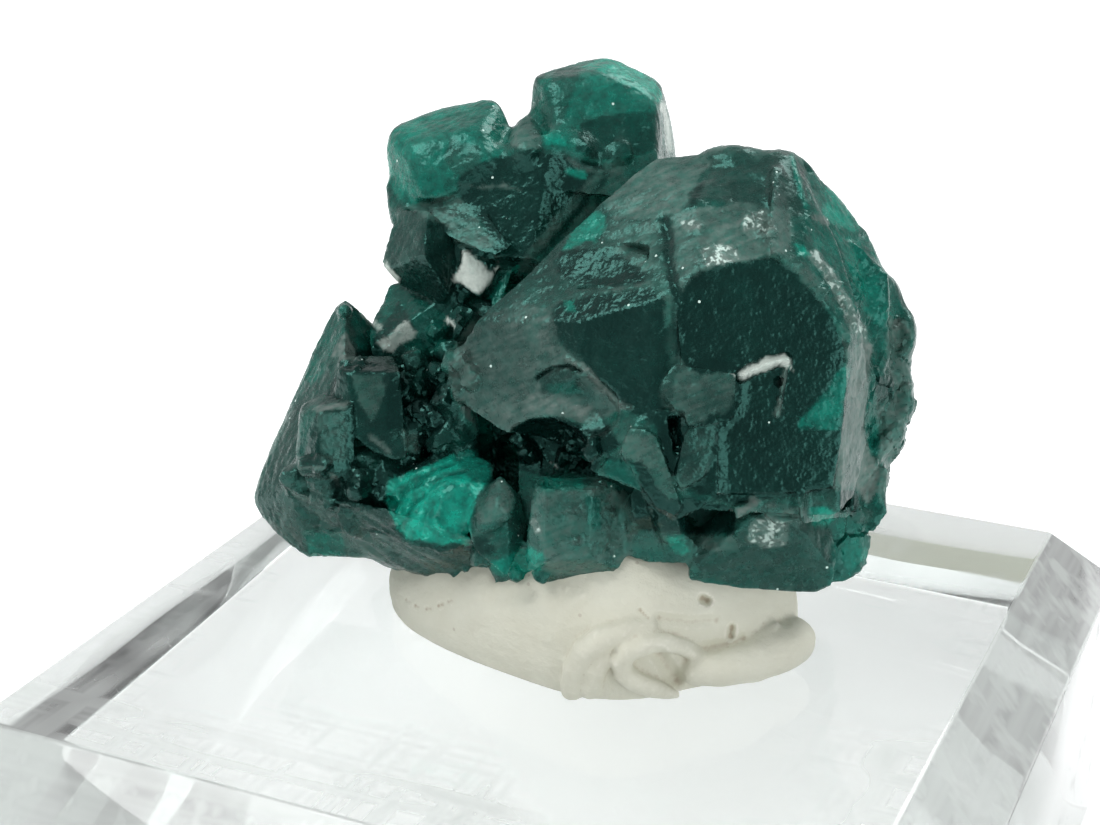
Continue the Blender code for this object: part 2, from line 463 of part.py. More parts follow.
def crystal_mesh(crystal, seed, grow=0.0):
    """A crystal's solid, in the front view: six prism faces, and three at each end that lie between them."""
    spread = random.Random(seed)
    middle = Vector(crystal.at)
    axis = direction(*crystal.lean)
    to_axis = axis.to_track_quat("Z", "Y").to_matrix()
    tilt = math.radians(END_FACE_TILT)
    planes = []
    for index in range(6):
        around = math.radians(60 * index + crystal.spin)
        normal = to_axis @ Vector((math.cos(around), math.sin(around), 0))
        distance = crystal.side * spread.uniform(1 - FACE_SPREAD, 1 + FACE_SPREAD)
        planes.append((middle + normal * (distance + grow), normal))
    for index in range(3):
        for end in (1, -1):
            around = math.radians(120 * index + 30 + 60 * (end < 0) + crystal.spin)
            normal = to_axis @ Vector((math.sin(tilt) * math.cos(around), math.sin(tilt) * math.sin(around),
                                       end * math.cos(tilt)))
            distance = crystal.reach * spread.uniform(1 - FACE_SPREAD, 1 + FACE_SPREAD)
            planes.append((middle + normal * (distance + grow), normal))
    return cleave(planes, middle)


def scoop_mesh(scoop):
    """A scoop's ellipsoid, in the front view."""
    work = bmesh.new()
    turn = Matrix.Rotation(math.radians(scoop.turn), 4, "Z")
    place = Matrix.Translation(scoop.at) @ turn @ Matrix.Diagonal((*scoop.radii, 1))
    bmesh.ops.create_icosphere(work, subdivisions=SCOOP_ROUNDING, radius=1, matrix=place)
    return work


def helper_collection(name, works):
    """A collection of hidden solids, given in the front view, for a Boolean modifier to use."""
    to_part = front_view_to_part()
    helpers = bpy.data.collections.new(name)
    bpy.context.scene.collection.children.link(helpers)
    for index, work in enumerate(works):
        bmesh.ops.transform(work, matrix=to_part, verts=work.verts)
        solid = object_from(f"{name}_{index:02d}", work)
        helpers.objects.link(solid)
        bpy.context.scene.collection.objects.unlink(solid)
        hide_helper(solid)
    return helpers


def combine(whole, operation, helpers):
    """Join a collection of solids to an object, or cut them from it."""
    step = whole.modifiers.new(helpers.name, "BOOLEAN")
    step.operation = operation
    step.solver = "EXACT"
    step.operand_type = "COLLECTION"
    step.collection = helpers


def hide_helper(solid):
    """Mark a solid as a helper, which is not part of the model."""
    solid.hide_render = True
    solid.display_type = "WIRE"


def keep_largest_piece(whole):
    """Apply an object's modifiers, and delete loose crumbs and the walls of closed hollows."""
    graph = bpy.context.evaluated_depsgraph_get()
    mesh = bpy.data.meshes.new_from_object(whole.evaluated_get(graph))
    work = bmesh.new()
    work.from_mesh(mesh)
    pieces = []
    unseen = set(work.verts)
    while unseen:
        piece = set()
        edge_of_search = [unseen.pop()]
        while edge_of_search:
            corner = edge_of_search.pop()
            piece.add(corner)
            for edge in corner.link_edges:
                other = edge.other_vert(corner)
                if other in unseen:
                    unseen.remove(other)
                    edge_of_search.append(other)
        pieces.append(piece)
    pieces.sort(key=len)
    for crumb in pieces[:-1]:
        bmesh.ops.delete(work, geom=list(crumb), context="VERTS")
    work.to_mesh(mesh)
    work.free()
    whole.modifiers.clear()
    whole.data = mesh


def make_base(finish):
    """The bevelled block."""
    work = bmesh.new()
    rings = []
    for side, height in ((BASE_SIDE, 0), (BASE_SIDE, BASE_HEIGHT - BEVEL_DROP),
                         (BASE_SIDE - 2 * BEVEL_RUN, BASE_HEIGHT)):
        half = side / 2
        ring = [work.verts.new((x * half, y * half, height)) for x, y in ((-1, -1), (1, -1), (1, 1), (-1, 1))]
        rings.append(ring)
    for lower, upper in zip(rings, rings[1:]):
        for index in range(4):
            after = (index + 1) % 4
            work.faces.new((lower[index], lower[after], upper[after], upper[index]))
    work.faces.new(rings[0])
    work.faces.new(rings[-1])
    return object_from("acrylic_base", work, finish)


def crystal_works(grow=0.0):
    """The solids of all blocks and crystals, each face moved out by grow."""
    works = [block_mesh(block, grow) for block in BLOCKS.values()]
    works += [crystal_mesh(crystal, seed, grow) for seed, crystal in enumerate(CRYSTALS)]
    return works


def make_dioptase(finish):
    """The fused cluster of crystals, with its broken places."""
    works = crystal_works()
    bmesh.ops.transform(works[0], matrix=front_view_to_part(), verts=works[0].verts)
    whole = object_from("dioptase", works[0], finish)
    combine(whole, "UNION", helper_collection("grown_together", works[1:]))
    breaks = [scoop_mesh(scoop) for scoop in SCOOPS] + [block_mesh(notch) for notch in NOTCHES]
    combine(whole, "DIFFERENCE", helper_collection("broken_away", breaks))
    keep_largest_piece(whole)
    return whole


def smooth_loop(points, sides):
    """Points along a smooth closed curve (a Catmull-Rom spline) through the given points."""
    count = len(points)
    loop = []
    for index in range(sides):
        place = index * count / sides
        step = int(place)
        share = place - step
        before, start, end, after = (Vector(points[(step + offset) % count]) for offset in (-1, 0, 1, 2))
        loop.append(0.5 * (2 * start + (end - before) * share
                           + (2 * before - 5 * start + 4 * end - after) * share ** 2
                           + (3 * start - 3 * end + after - before) * share ** 3))
    return loop


def tack_mesh():
    """The putty pad, from rings that swell at its side and close over its top, in the specimen's frame."""
    work = bmesh.new()
    outline = smooth_loop(TACK_OUTLINE, TACK_SIDES)
    middle = sum(outline, Vector((0, 0))) / len(outline)
    low = math.sin(math.radians(TACK_LOW_ANGLE))
    rings = []
    for level in range(TACK_RINGS):
        rise = math.radians(TACK_LOW_ANGLE + (90 - TACK_LOW_ANGLE) * level / TACK_RINGS)
        swell = math.cos(rise) ** TACK_SQUARENESS
        ring = []
        for corner in outline:
            place = middle + (corner - middle) * swell
            share = min(max((place.x - TACK_LOW_END) / (TACK_HIGH_END - TACK_LOW_END), 0), 1)
            height = TACK_LOW_HEIGHT + (TACK_HIGH_HEIGHT - TACK_LOW_HEIGHT) * share
            ring.append(work.verts.new((*place, GAP + height * (math.sin(rise) - low) / (1 - low))))
        rings.append(ring)
    for lower, upper in zip(rings, rings[1:]):
        for index in range(TACK_SIDES):
            after = (index + 1) % TACK_SIDES
            work.faces.new((lower[index], lower[after], upper[after], upper[index]))
    work.faces.new(rings[0])
    work.faces.new(rings[-1])
    return work


def lump_mesh(at, radii, turn):
    """An ellipsoid of putty in the specimen's frame, cut off flat at the putty's underside."""
    work = bmesh.new()
    turned = Matrix.Rotation(math.radians(turn), 4, "Z")
    place = Matrix.Translation(at) @ turned @ Matrix.Diagonal((*radii, 1))
    bmesh.ops.create_icosphere(work, subdivisions=LUMP_ROUNDING, radius=1, matrix=place)
    cut_away(work, Vector((0, 0, GAP)), Vector((0, 0, -1)))
    return work


def make_tack(finish):
    """The putty that the specimen is pressed into, with the crystals' print in it."""
    stand = Matrix.Translation((0, 0, BASE_HEIGHT)) @ Matrix.Rotation(math.radians(SPECIMEN_TURN), 4, "Z")
    pad = tack_mesh()
    bmesh.ops.transform(pad, matrix=stand, verts=pad.verts)
    whole = object_from("mineral_tack", pad, finish)
    to_front_view = front_view_to_part().inverted() @ stand
    lumps = []
    for at, radii, turn in TACK_LUMPS:
        lump = lump_mesh(at, radii, turn)
        bmesh.ops.transform(lump, matrix=to_front_view, verts=lump.verts)
        lumps.append(lump)
    combine(whole, "UNION", helper_collection("putty_lumps", lumps))
    combine(whole, "DIFFERENCE", helper_collection("pressed_in", crystal_works(GAP)))
    keep_largest_piece(whole)
    return whole


def main():
    remove_all_objects()
    emerald = material("dioptase", (0.01, 0.16, 0.12), 0.12, transmission=0.6, ior=1.66)
    clear = material("clear_acrylic", (0.95, 0.97, 0.97), 0.03, transmission=1.0, ior=1.49)
    putty = material("putty", (0.62, 0.58, 0.53), 0.75)
    make_base(clear)
    make_dioptase(emerald)
    make_tack(putty)


main()
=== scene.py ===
"""The looks of a dioptase specimen on its base: worn crystals, kneaded putty and clear acrylic.

Lengths are in millimetres and each finished mesh is in metres. The specimen is described in its front view,
as someone sees it who looks down at it from its front: x to the right, h up across the line of sight and d
away from the viewer, from the middle of the base's top. A pixel is a place in the photograph.
"""

import itertools
import math
import random
from collections import namedtuple

import bmesh
import bpy
import numpy as np
from mathutils import Matrix, Vector
from mathutils.bvhtree import BVHTree


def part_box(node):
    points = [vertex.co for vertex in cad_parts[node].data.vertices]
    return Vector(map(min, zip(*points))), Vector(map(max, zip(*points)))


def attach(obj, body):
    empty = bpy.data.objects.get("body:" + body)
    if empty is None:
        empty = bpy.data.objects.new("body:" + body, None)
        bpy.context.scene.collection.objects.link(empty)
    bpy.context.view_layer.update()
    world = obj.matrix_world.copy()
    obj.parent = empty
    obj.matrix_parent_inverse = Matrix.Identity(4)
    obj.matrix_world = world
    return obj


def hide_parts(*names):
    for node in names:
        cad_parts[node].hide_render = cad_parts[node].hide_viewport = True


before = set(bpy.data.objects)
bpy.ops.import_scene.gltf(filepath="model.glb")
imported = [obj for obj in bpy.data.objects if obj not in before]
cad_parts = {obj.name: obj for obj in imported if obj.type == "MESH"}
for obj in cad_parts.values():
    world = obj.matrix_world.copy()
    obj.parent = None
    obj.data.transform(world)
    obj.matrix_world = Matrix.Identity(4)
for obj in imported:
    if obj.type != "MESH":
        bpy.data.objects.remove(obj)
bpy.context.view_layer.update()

MM = 0.001
SEED = 7

# The front view looks down by SIGHT_DROP, and the specimen is turned on its base by SPECIMEN_TURN.
SIGHT_DROP = math.radians(21.79)
SPECIMEN_TURN = math.radians(24.57)

# The camera stands this far in front of the specimen's middle and above the base's top.
CAMERA_OFFSET = (-0.445, -60.28, 31.55)
CAMERA_LENS = 65.3
SENSOR_WIDTH = 36.0

# Dimensions of the meshes: the grain of the remeshed surfaces, and the most triangles in a piece.
CRYSTAL_GRAIN = 0.078
PUTTY_GRAIN = 0.075
MOST_TRIANGLES = 190000

# Thinning: steps of its weights, the weight where triangles are kept longest, and how much weights count.
THIN_LEVELS = 4
KEPT_SHARE = 0.25
THIN_BIAS = 1.0

# The crystals are thinned first from these depths on, and where their normals point away from the viewer.
THIN_DEPTHS = (-1.0, 1.5)
THIN_TURNS = (0.1, 0.4)

BASE_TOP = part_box("acrylic_base")[1].z / MM


# Frames.

def front_to_part():
    """The matrix that takes a point (x, h, d) of the front view to the part's own frame, in millimetres.

    The front view is left-handed, so a mesh that is taken through this matrix has its faces flipped.
    """
    across = Vector((1, 0, 0))
    upward = Vector((0, math.sin(SIGHT_DROP), math.cos(SIGHT_DROP)))
    away = Vector((0, math.cos(SIGHT_DROP), -math.sin(SIGHT_DROP)))
    axes = Matrix((across, upward, away)).transposed().to_4x4()
    return stand_to_part() @ axes


def stand_to_part():
    """The matrix from the specimen's own upright frame, on the base's top, to the part's frame."""
    return Matrix.Translation((0, 0, BASE_TOP)) @ Matrix.Rotation(SPECIMEN_TURN, 4, "Z")


FRONT = front_to_part()
FRONT_INVERSE = FRONT.inverted()
IMAGE_SIZE = (1100, 825)
IMAGE_MIDDLE = (IMAGE_SIZE[0] / 2, IMAGE_SIZE[1] / 2)
PIXELS_PER_SLOPE = IMAGE_SIZE[0] * CAMERA_LENS / SENSOR_WIDTH
FAR_AWAY = 1e6
EYE = FRONT_INVERSE @ stand_to_part() @ Vector(CAMERA_OFFSET)


def pixel_ray(u, v):
    """The direction in the front view, one unit deep, that a pixel of the photograph looks along."""
    return Vector(((u - IMAGE_MIDDLE[0]) / PIXELS_PER_SLOPE, (IMAGE_MIDDLE[1] - v) / PIXELS_PER_SLOPE, 1))


def hit_at(tree, u, v):
    """Where a pixel's line of sight meets a surface, and the normal there."""
    return tree.ray_cast(EYE, pixel_ray(u, v).normalized())[:2]


def at_depth(u, v, d):
    """The front view's point that a pixel shows at a depth."""
    return EYE + pixel_ray(u, v) * (d - EYE.z)


def to_pixels(points):
    """Where each point stands in the photograph."""
    away = points - np.array(EYE)
    u = IMAGE_MIDDLE[0] + PIXELS_PER_SLOPE * away[:, 0] / away[:, 2]
    v = IMAGE_MIDDLE[1] - PIXELS_PER_SLOPE * away[:, 1] / away[:, 2]
    return np.stack((u, v), axis=1)


def away_from_side(places, start, end):
    """How far each place is from a side between two corners, in pixels."""
    side = end - start
    away = places - start
    along = np.clip(away @ side / (side @ side), 0, 1)
    gap = away - along[:, None] * side
    return np.sqrt(np.sum(gap * gap, axis=1))


def inside_by(places, corners):
    """How many pixels each place lies inside a polygon, less than 0 outside it."""
    nearest = np.full(len(places), FAR_AWAY)
    inside = np.zeros(len(places), dtype=bool)
    corners = np.array(corners, dtype=float)
    for start, end in zip(corners, np.roll(corners, -1, axis=0)):
        nearest = np.minimum(nearest, away_from_side(places, start, end))
        if end[1] != start[1]:
            crosses = (start[1] > places[:, 1]) != (end[1] > places[:, 1])
            across = (places[:, 1] - start[1]) / (end[1] - start[1]) * (end[0] - start[0])
            inside ^= crosses & (places[:, 0] < start[0] + across)
    return np.where(inside, nearest, -nearest)


def inside_line(places, corners, width):
    """How many pixels each place lies within a line of a half width, less than 0 beside it."""
    nearest = np.full(len(places), FAR_AWAY)
    corners = np.array(corners, dtype=float)
    for start, end in zip(corners, corners[1:]):
        nearest = np.minimum(nearest, away_from_side(places, start, end))
    return width - nearest


# Noise, as functions of arrays of points.

HASH_PRIMES = (73856093, 19349663, 83492791)
HASH_SEED_PRIME = 2654435761
HASH_MULTIPLIER = 2654435769
LARGEST_WORD = 4294967295.0
NOISE_STRENGTH = 1.6


def hashed(cells, seed, count):
    """Repeatable numbers from 0 to 1 for whole-numbered cells."""
    x, y, z = cells.T
    mixed = (x * HASH_PRIMES[0]) ^ (y * HASH_PRIMES[1]) ^ (z * HASH_PRIMES[2]) ^ (seed * HASH_SEED_PRIME)
    mixed = mixed.astype(np.uint32)
    numbers = []
    for _ in range(count):
        mixed ^= mixed << np.uint32(13)
        mixed ^= mixed >> np.uint32(17)
        mixed ^= mixed << np.uint32(5)
        mixed = (mixed * np.uint32(HASH_MULTIPLIER)) ^ (mixed >> np.uint32(15))
        numbers.append(mixed.astype(np.float64) / LARGEST_WORD)
    return np.stack(numbers, axis=1)


def smooth_noise(points, grain, seed):
    """Smooth noise about 0 with bumps about one grain across."""
    places = points / grain
    cells = np.floor(places).astype(np.int64)
    part = places - cells
    fade = part * part * part * (part * (part * 6 - 15) + 10)
    total = np.zeros(len(points))
    for corner in itertools.product((0, 1), repeat=3):
        corner = np.array(corner)
        slope = hashed(cells + corner, seed, 3) * 2 - 1
        weight = np.prod(np.where(corner == 1, fade, 1 - fade), axis=1)
        total += weight * np.sum(slope * (part - corner), axis=1)
    return total * NOISE_STRENGTH


def rough_noise(points, grain, seed, octaves=3):
    """Noise with finer noise on it."""
    total = np.zeros(len(points))
    for octave in range(octaves):
        total += smooth_noise(points, grain / 2 ** octave, seed + octave) / 2 ** octave
    return total


def facet_noise(points, grain, seed):
    """Noise made of small tilted flats, as on a broken crystal, about 0."""
    places = points / grain
    cells = np.floor(places).astype(np.int64)
    nearest = np.full(len(points), 9.0)
    value = np.zeros(len(points))
    for corner in itertools.product((-1, 0, 1), repeat=3):
        cell = cells + np.array(corner)
        numbers = hashed(cell, seed, 7)
        away = places - cell - numbers[:, :3]
        distance = np.sum(away * away, axis=1)
        closer = distance < nearest
        flat = np.sum(away * (numbers[:, 3:6] * 2 - 1), axis=1) + numbers[:, 6] - 0.5
        nearest = np.where(closer, distance, nearest)
        value = np.where(closer, flat, value)
    return value


def smooth_step(values, low, high):
    """0 up to low, 1 from high on, and an even change between."""
    share = np.clip((values - low) / (high - low), 0, 1)
    return share * share * (3 - 2 * share)


# Meshes and arrays.

def mesh_arrays(mesh):
    """A mesh's points and normals as arrays."""
    points = np.empty(len(mesh.vertices) * 3)
    mesh.vertices.foreach_get("co", points)
    normals = np.empty(len(mesh.vertices) * 3, dtype=np.float32)
    mesh.vertices.foreach_get("normal", normals)
    return points.reshape(-1, 3), normals.reshape(-1, 3).astype(float)


def set_points(mesh, points):
    mesh.vertices.foreach_set("co", points.astype(np.float32).ravel())
    mesh.update()


def apply_modifiers(thing):
    graph = bpy.context.evaluated_depsgraph_get()
    mesh = bpy.data.meshes.new_from_object(thing.evaluated_get(graph))
    thing.modifiers.clear()
    old = thing.data
    thing.data = mesh
    bpy.data.meshes.remove(old)


def object_of(name, mesh):
    made = bpy.data.objects.new(name, mesh)
    bpy.context.scene.collection.objects.link(made)
    return made


def fused(name, works, grain):
    """One object whose surface wraps all the given closed bmeshes, with points about one grain apart."""
    mesh = bpy.data.meshes.new(name)
    whole = bmesh.new()
    for work in works:
        bmesh.ops.recalc_face_normals(work, faces=work.faces)
        part = bpy.data.meshes.new("part")
        work.to_mesh(part)
        work.free()
        whole.from_mesh(part)
        bpy.data.meshes.remove(part)
    whole.to_mesh(mesh)
    whole.free()
    soup = mesh.copy()
    made = object_of(name, mesh)
    step = made.modifiers.new("remesh", "REMESH")
    step.mode = "VOXEL"
    step.voxel_size = grain
    apply_modifiers(made)
    return made, soup


def tree_of(mesh):
    work = bmesh.new()
    work.from_mesh(mesh)
    tree = BVHTree.FromBMesh(work)
    work.free()
    return tree


def settle(made, soup, reach):
    """Move an object's points onto the solids that it wraps, which brings their edges back."""
    tree = tree_of(soup)
    points, _ = mesh_arrays(made.data)
    for index, point in enumerate(points):
        place, _, _, distance = tree.find_nearest(point, reach)
        if place is not None:
            points[index] = place
    set_points(made.data, points)
    bpy.data.meshes.remove(soup)


def thin_out(made, where=None):
    """Take triangles away where the surface is flat, down to the most that a piece may have.

    Where is from 0 to 1 at each point: how readily triangles there go.
    """
    made.data.calc_loop_triangles()
    count = len(made.data.loop_triangles)
    step = made.modifiers.new("thin", "DECIMATE")
    step.ratio = min(1, MOST_TRIANGLES / count)
    step.use_collapse_triangulate = True
    if where is not None:
        group = made.vertex_groups.new(name="thin")
        for level in range(THIN_LEVELS + 1):
            members = np.flatnonzero(np.round(where * THIN_LEVELS) == level)
            group.add(members.tolist(), KEPT_SHARE + (1 - KEPT_SHARE) * level / THIN_LEVELS, "REPLACE")
        step.vertex_group = "thin"
        step.vertex_group_factor = THIN_BIAS
    apply_modifiers(made)
    made.data.validate()
    made.vertex_groups.clear()


def write_attribute(mesh, name, values):
    layer = mesh.attributes.new(name, "FLOAT", "POINT")
    layer.data.foreach_set("value", values.astype(np.float32))


# Crystals.

CRYSTAL_CREASE_ANGLE = math.radians(28)
END_FACE_TILT = math.radians(51)
FACE_SPREAD = (0.88, 1.12)
BLANK_SIDE = 60
CUT_REACH = 1e-6

Cluster = namedtuple("Cluster", "pixel radii count sides facing")

# Where small crystals sit: middle pixel and radii in pixels, how many, their least and greatest half width,
# and how closely they point along the surface's normal.
CLUSTERS = [Cluster(*row) for row in (
    ((440, 400), (40, 50), 12, (0.22, 0.50), 0.6),
    ((345, 480), (45, 30), 10, (0.16, 0.38), 0.6),
    ((455, 340), (25, 35), 6, (0.18, 0.40), 0.6),
    ((555, 445), (40, 18), 8, (0.14, 0.36), 0.6),
    ((500, 570), (60, 10), 6, (0.12, 0.26), 0.6),
    ((716, 260), (16, 12), 26, (0.05, 0.12), 0.5),
    ((760, 226), (17, 14), 22, (0.05, 0.12), 0.5),
    ((690, 226), (11, 5), 8, (0.04, 0.09), 0.5),
    ((768, 532), (24, 14), 16, (0.05, 0.13), 0.5),
    ((838, 295), (22, 42), 24, (0.05, 0.14), 0.5),
    ((468, 292), (10, 8), 5, (0.08, 0.16), 0.6),
    ((450, 170), (28, 14), 14, (0.05, 0.14), 0.6),
    ((350, 366), (35, 6), 12, (0.06, 0.16), 0.6),
    ((590, 530), (40, 30), 12, (0.05, 0.12), 0.5),
)]

# A small crystal's length for its width, and how far its middle lies under the surface for its half width.
SMALL_LENGTHS = (1.1, 1.6)
NEAR_SUNK = 0.3
FAR_SUNK = 0.4

# Small crystals on the far side: how many are tried, their half widths and how closely they point along the
# normal. They are looked for from FAR_START away, and FAR_REACH half widths around each stay hidden.
FAR_CRYSTALS = 60
FAR_SIDES = (0.2, 0.7)
FAR_FACING = 0.6
FAR_START = 40
FAR_REACH = 2.2
SPECIMEN_MIDDLE = Vector((0, 8, -1))


def cut_away(work, point, normal):
    """Cut off what lies beyond a plane, and close the cut."""
    geometry = work.verts[:] + work.edges[:] + work.faces[:]
    cut = bmesh.ops.bisect_plane(work, geom=geometry, dist=CUT_REACH, plane_co=point, plane_no=normal,
                                 clear_outer=True)
    rim = [part for part in cut["geom_cut"] if isinstance(part, bmesh.types.BMEdge)]
    if rim:
        bmesh.ops.contextual_create(work, geom=rim)


def crystal_work(middle, axis, side, reach, chance):
    """A six-sided crystal with three faces at each end, its faces a little uneven."""
    to_axis = axis.to_track_quat("Z", "Y").to_matrix()
    spin = chance.uniform(0, 2 * math.pi)
    work = bmesh.new()
    bmesh.ops.create_cube(work, size=BLANK_SIDE, matrix=Matrix.Translation(middle))
    for index in range(6):
        around = math.radians(60 * index) + spin
        normal = to_axis @ Vector((math.cos(around), math.sin(around), 0))
        cut_away(work, middle + normal * side * chance.uniform(*FACE_SPREAD), normal)
    for index in range(3):
        for end in (1, -1):
            around = math.radians(120 * index + 30 + 60 * (end < 0)) + spin
            level = math.sin(END_FACE_TILT)
            normal = to_axis @ Vector((level * math.cos(around), level * math.sin(around),
                                       end * math.cos(END_FACE_TILT)))
            cut_away(work, middle + normal * reach * chance.uniform(*FACE_SPREAD), normal)
    return work


def random_direction(chance):
    height = chance.uniform(-1, 1)
    around = chance.uniform(0, 2 * math.pi)
    level = math.sqrt(1 - height * height)
    return Vector((level * math.cos(around), level * math.sin(around), height))


BALL_PLACES = [(0, 0), (1, 0), (-1, 0), (0, 1), (0, -1), (0.7, 0.7), (-0.7, 0.7), (0.7, -0.7), (-0.7, -0.7)]


def hidden_behind(tree, place, size):
    """True where the camera sees nothing of a ball at a place for the solid in front of it."""
    for x, h in BALL_PLACES:
        sight = place + Vector((x, h, 0)) * size - EYE
        hit = tree.ray_cast(EYE, sight.normalized())
        if hit[0] is None or hit[3] > sight.length - size:
            return False
    return True


def leaning(normal, facing, chance):
    """A direction that follows a normal by a share."""
    return (normal * facing + random_direction(chance) * (1 - facing)).normalized()


def crystal_on(place, normal, axis, side, sunk, chance):
    """A small crystal with its middle a share of its half width under the surface."""
    length = side * chance.uniform(*SMALL_LENGTHS)
    return crystal_work(place - normal * side * sunk, axis, side, length, chance)


def small_crystals(tree, chance):
    """Small crystals grown on the surface that the tree holds, in the front view."""
    works = []
    for cluster in CLUSTERS:
        for _ in range(cluster.count):
            around = chance.uniform(0, 2 * math.pi)
            out = math.sqrt(chance.random())
            u = cluster.pixel[0] + cluster.radii[0] * out * math.cos(around)
            v = cluster.pixel[1] + cluster.radii[1] * out * math.sin(around)
            place, normal = hit_at(tree, u, v)
            if place is None:
                continue
            axis = leaning(normal, cluster.facing, chance)
            works.append(crystal_on(place, normal, axis, chance.uniform(*cluster.sides), NEAR_SUNK, chance))
    grown = 0
    while grown < FAR_CRYSTALS:
        start = random_direction(chance)
        side = chance.uniform(*FAR_SIDES)
        place, normal, _, _ = tree.ray_cast(SPECIMEN_MIDDLE + start * FAR_START, -start)
        grown += 1
        reach = FAR_REACH * side
        if place is None or (FRONT @ place).z < BASE_TOP + reach or not hidden_behind(tree, place, reach):
            continue
        works.append(crystal_on(place, normal, leaning(normal, FAR_FACING, chance), side, FAR_SUNK, chance))
    return works


# Flat-sided growths: the corners of the near side as pixels with their depths, and the thickness behind it.
Growth = namedtuple("Growth", "corners thickness")
GROWTHS = [Growth(*row) for row in (
    ([(676, 300, -9.10), (690, 277, -9.10), (715, 266, -9.10), (745, 260, -9.10), (775, 259, -9.10),
        (800, 279, -9.08), (822, 310, -9.05), (843, 345, -9.0), (848, 380, -9.0), (842, 440, -9.0),
        (834, 488, -9.0), (780, 494, -9.05), (690, 494, -9.08)], 2.5),
    ([(630, 428, -8.75), (645, 429, -8.95), (656, 436, -9.1), (670, 475, -9.2), (676, 497, -9.15),
        (682, 508, -9.1), (675, 517, -9.0), (655, 506, -8.9), (642, 475, -8.8), (620, 452, -8.6)], 1.2),
    ([(690, 428, -9.55), (713, 425, -9.5), (714, 440, -9.5), (709, 465, -9.5), (703, 478, -9.5),
        (681, 490, -9.5), (676, 478, -9.5), (684, 435, -9.5)], 0.9),
    ([(733, 507, -8.9), (745, 505, -8.9), (755, 498, -8.7), (761, 500, -8.6), (758, 508, -8.9),
        (745, 514, -9.0), (737, 518, -8.9)], 1.2),
    ([(763, 500, -8.3), (785, 503, -8.3), (808, 507, -8.2), (804, 521, -8.5), (775, 523, -8.6),
        (765, 514, -8.5)], 1.4),
    ([(499, 478, -5.5), (512, 486, -5.7), (517, 500, -5.8), (512, 518, -5.9), (495, 530, -5.9),
        (478, 532, -5.6), (474, 515, -5.5), (482, 497, -5.6), (498, 505, -6.2)], 1.4),
    ([(386, 180, -1.4), (399, 184, -1.8), (405, 204, -2.3), (401, 222, -2.5), (391, 225, -2.0),
        (387, 200, -1.6)], 1.6),
    ([(398, 200, -2.0), (415, 194, -1.9), (438, 190, -1.9), (460, 196, -1.9), (455, 210, -2.2),
        (428, 214, -2.6), (402, 212, -2.3)], 2.6),
    ([(511, 130, -2.2), (520, 121, -2.3), (526, 116, -2.3), (533, 119, -2.5), (541, 130, -2.9),
        (541, 149, -3.8), (508, 148, -3.6)], 1.4),
    ([(455, 280, -3.0), (463, 250, -3.2), (480, 262, -3.0), (489, 271, -2.9), (499, 267, -2.8),
        (489, 285, -2.9), (480, 297, -3.1), (468, 290, -3.1)], 1.2),
)]

# Rounded swellings, most along the top and the right of the front crystal: pixel, depth and radii.
Swelling = namedtuple("Swelling", "pixel depth radii")
SWELLINGS = [Swelling(*row) for row in (
    ((733, 162), -5.4, (1.15, 0.52, 1.3)),
    ((776, 167), -5.6, (0.95, 0.55, 1.3)),
    ((805, 176), -5.4, (0.34, 0.42, 0.8)),
    ((345, 311), -2.0, (0.28, 0.27, 0.5)),
    ((905, 335), -4.6, (0.34, 0.95, 1.2)),
    ((903, 392), -4.8, (0.33, 0.85, 1.2)),
    ((892, 432), -5.0, (0.45, 0.85, 1.2)),
)]


GROWTH_TAPER = 0.1


def growth_work(growth):
    """A convex solid between a growth's near corners and the same corners further away."""
    work = bmesh.new()
    near = [at_depth(*corner) for corner in growth.corners]
    middle = sum(near, Vector()) / len(near)
    for corner in near:
        work.verts.new(corner)
        work.verts.new(corner.lerp(middle, GROWTH_TAPER) + Vector((0, 0, growth.thickness)))
    bmesh.ops.convex_hull(work, input=work.verts[:])
    loose = [vert for vert in work.verts if not vert.link_faces]
    bmesh.ops.delete(work, geom=loose, context="VERTS")
    return work


def swelling_work(swelling):
    work = bmesh.new()
    place = at_depth(*swelling.pixel, swelling.depth)
    bmesh.ops.create_icosphere(work, subdivisions=3, radius=1,
                               matrix=Matrix.Translation(place) @ Matrix.Diagonal((*swelling.radii, 1)))
    return work


# Patches of the crystals' surface: middle (x, h, d), radii, turn in the front view, and strength.
Patch = namedtuple("Patch", "at radii turn strength")


def patch_weight(points, patch, wobble):
    """1 inside a patch and 0 outside, with an uneven border."""
    turn = math.radians(patch.turn)
    away = points - np.array(patch.at)
    along = away[:, 0] * math.cos(turn) + away[:, 1] * math.sin(turn)
    across = away[:, 1] * math.cos(turn) - away[:, 0] * math.sin(turn)
    distance = np.sqrt((along / patch.radii[0]) ** 2 + (across / patch.radii[1]) ** 2
                       + (away[:, 2] / patch.radii[2]) ** 2)
    return 1 - smooth_step(distance + wobble, 0.75, 1.1)


def patches_weight(points, patches, wobble):
    total = np.zeros(len(points))
    for patch in patches:
        total = np.maximum(total, patch.strength * patch_weight(points, patch, wobble))
    return total


# Broken and etched ground, where the surface is made of small flats.
BROKEN = [
    Patch((-0.8, 13.6, -3.0), (2.8, 2.0, 2.5), -10, 0.15),
    Patch((-4.4, 7.0, -3.0), (1.6, 2.6, 2.0), 0, 1.0),
    Patch((-7.4, 4.4, -3.4), (2.4, 1.6, 2.0), -20, 0.7),
    Patch((10.0, 6.8, -5.0), (1.2, 3.4, 2.5), 5, 1.0),
    Patch((8.8, 2.8, -6.0), (1.2, 1.6, 1.5), 0, 0.9),
    Patch((0.3, 5.4, -6.5), (2.0, 1.0, 2.0), 0, 1.0),
]

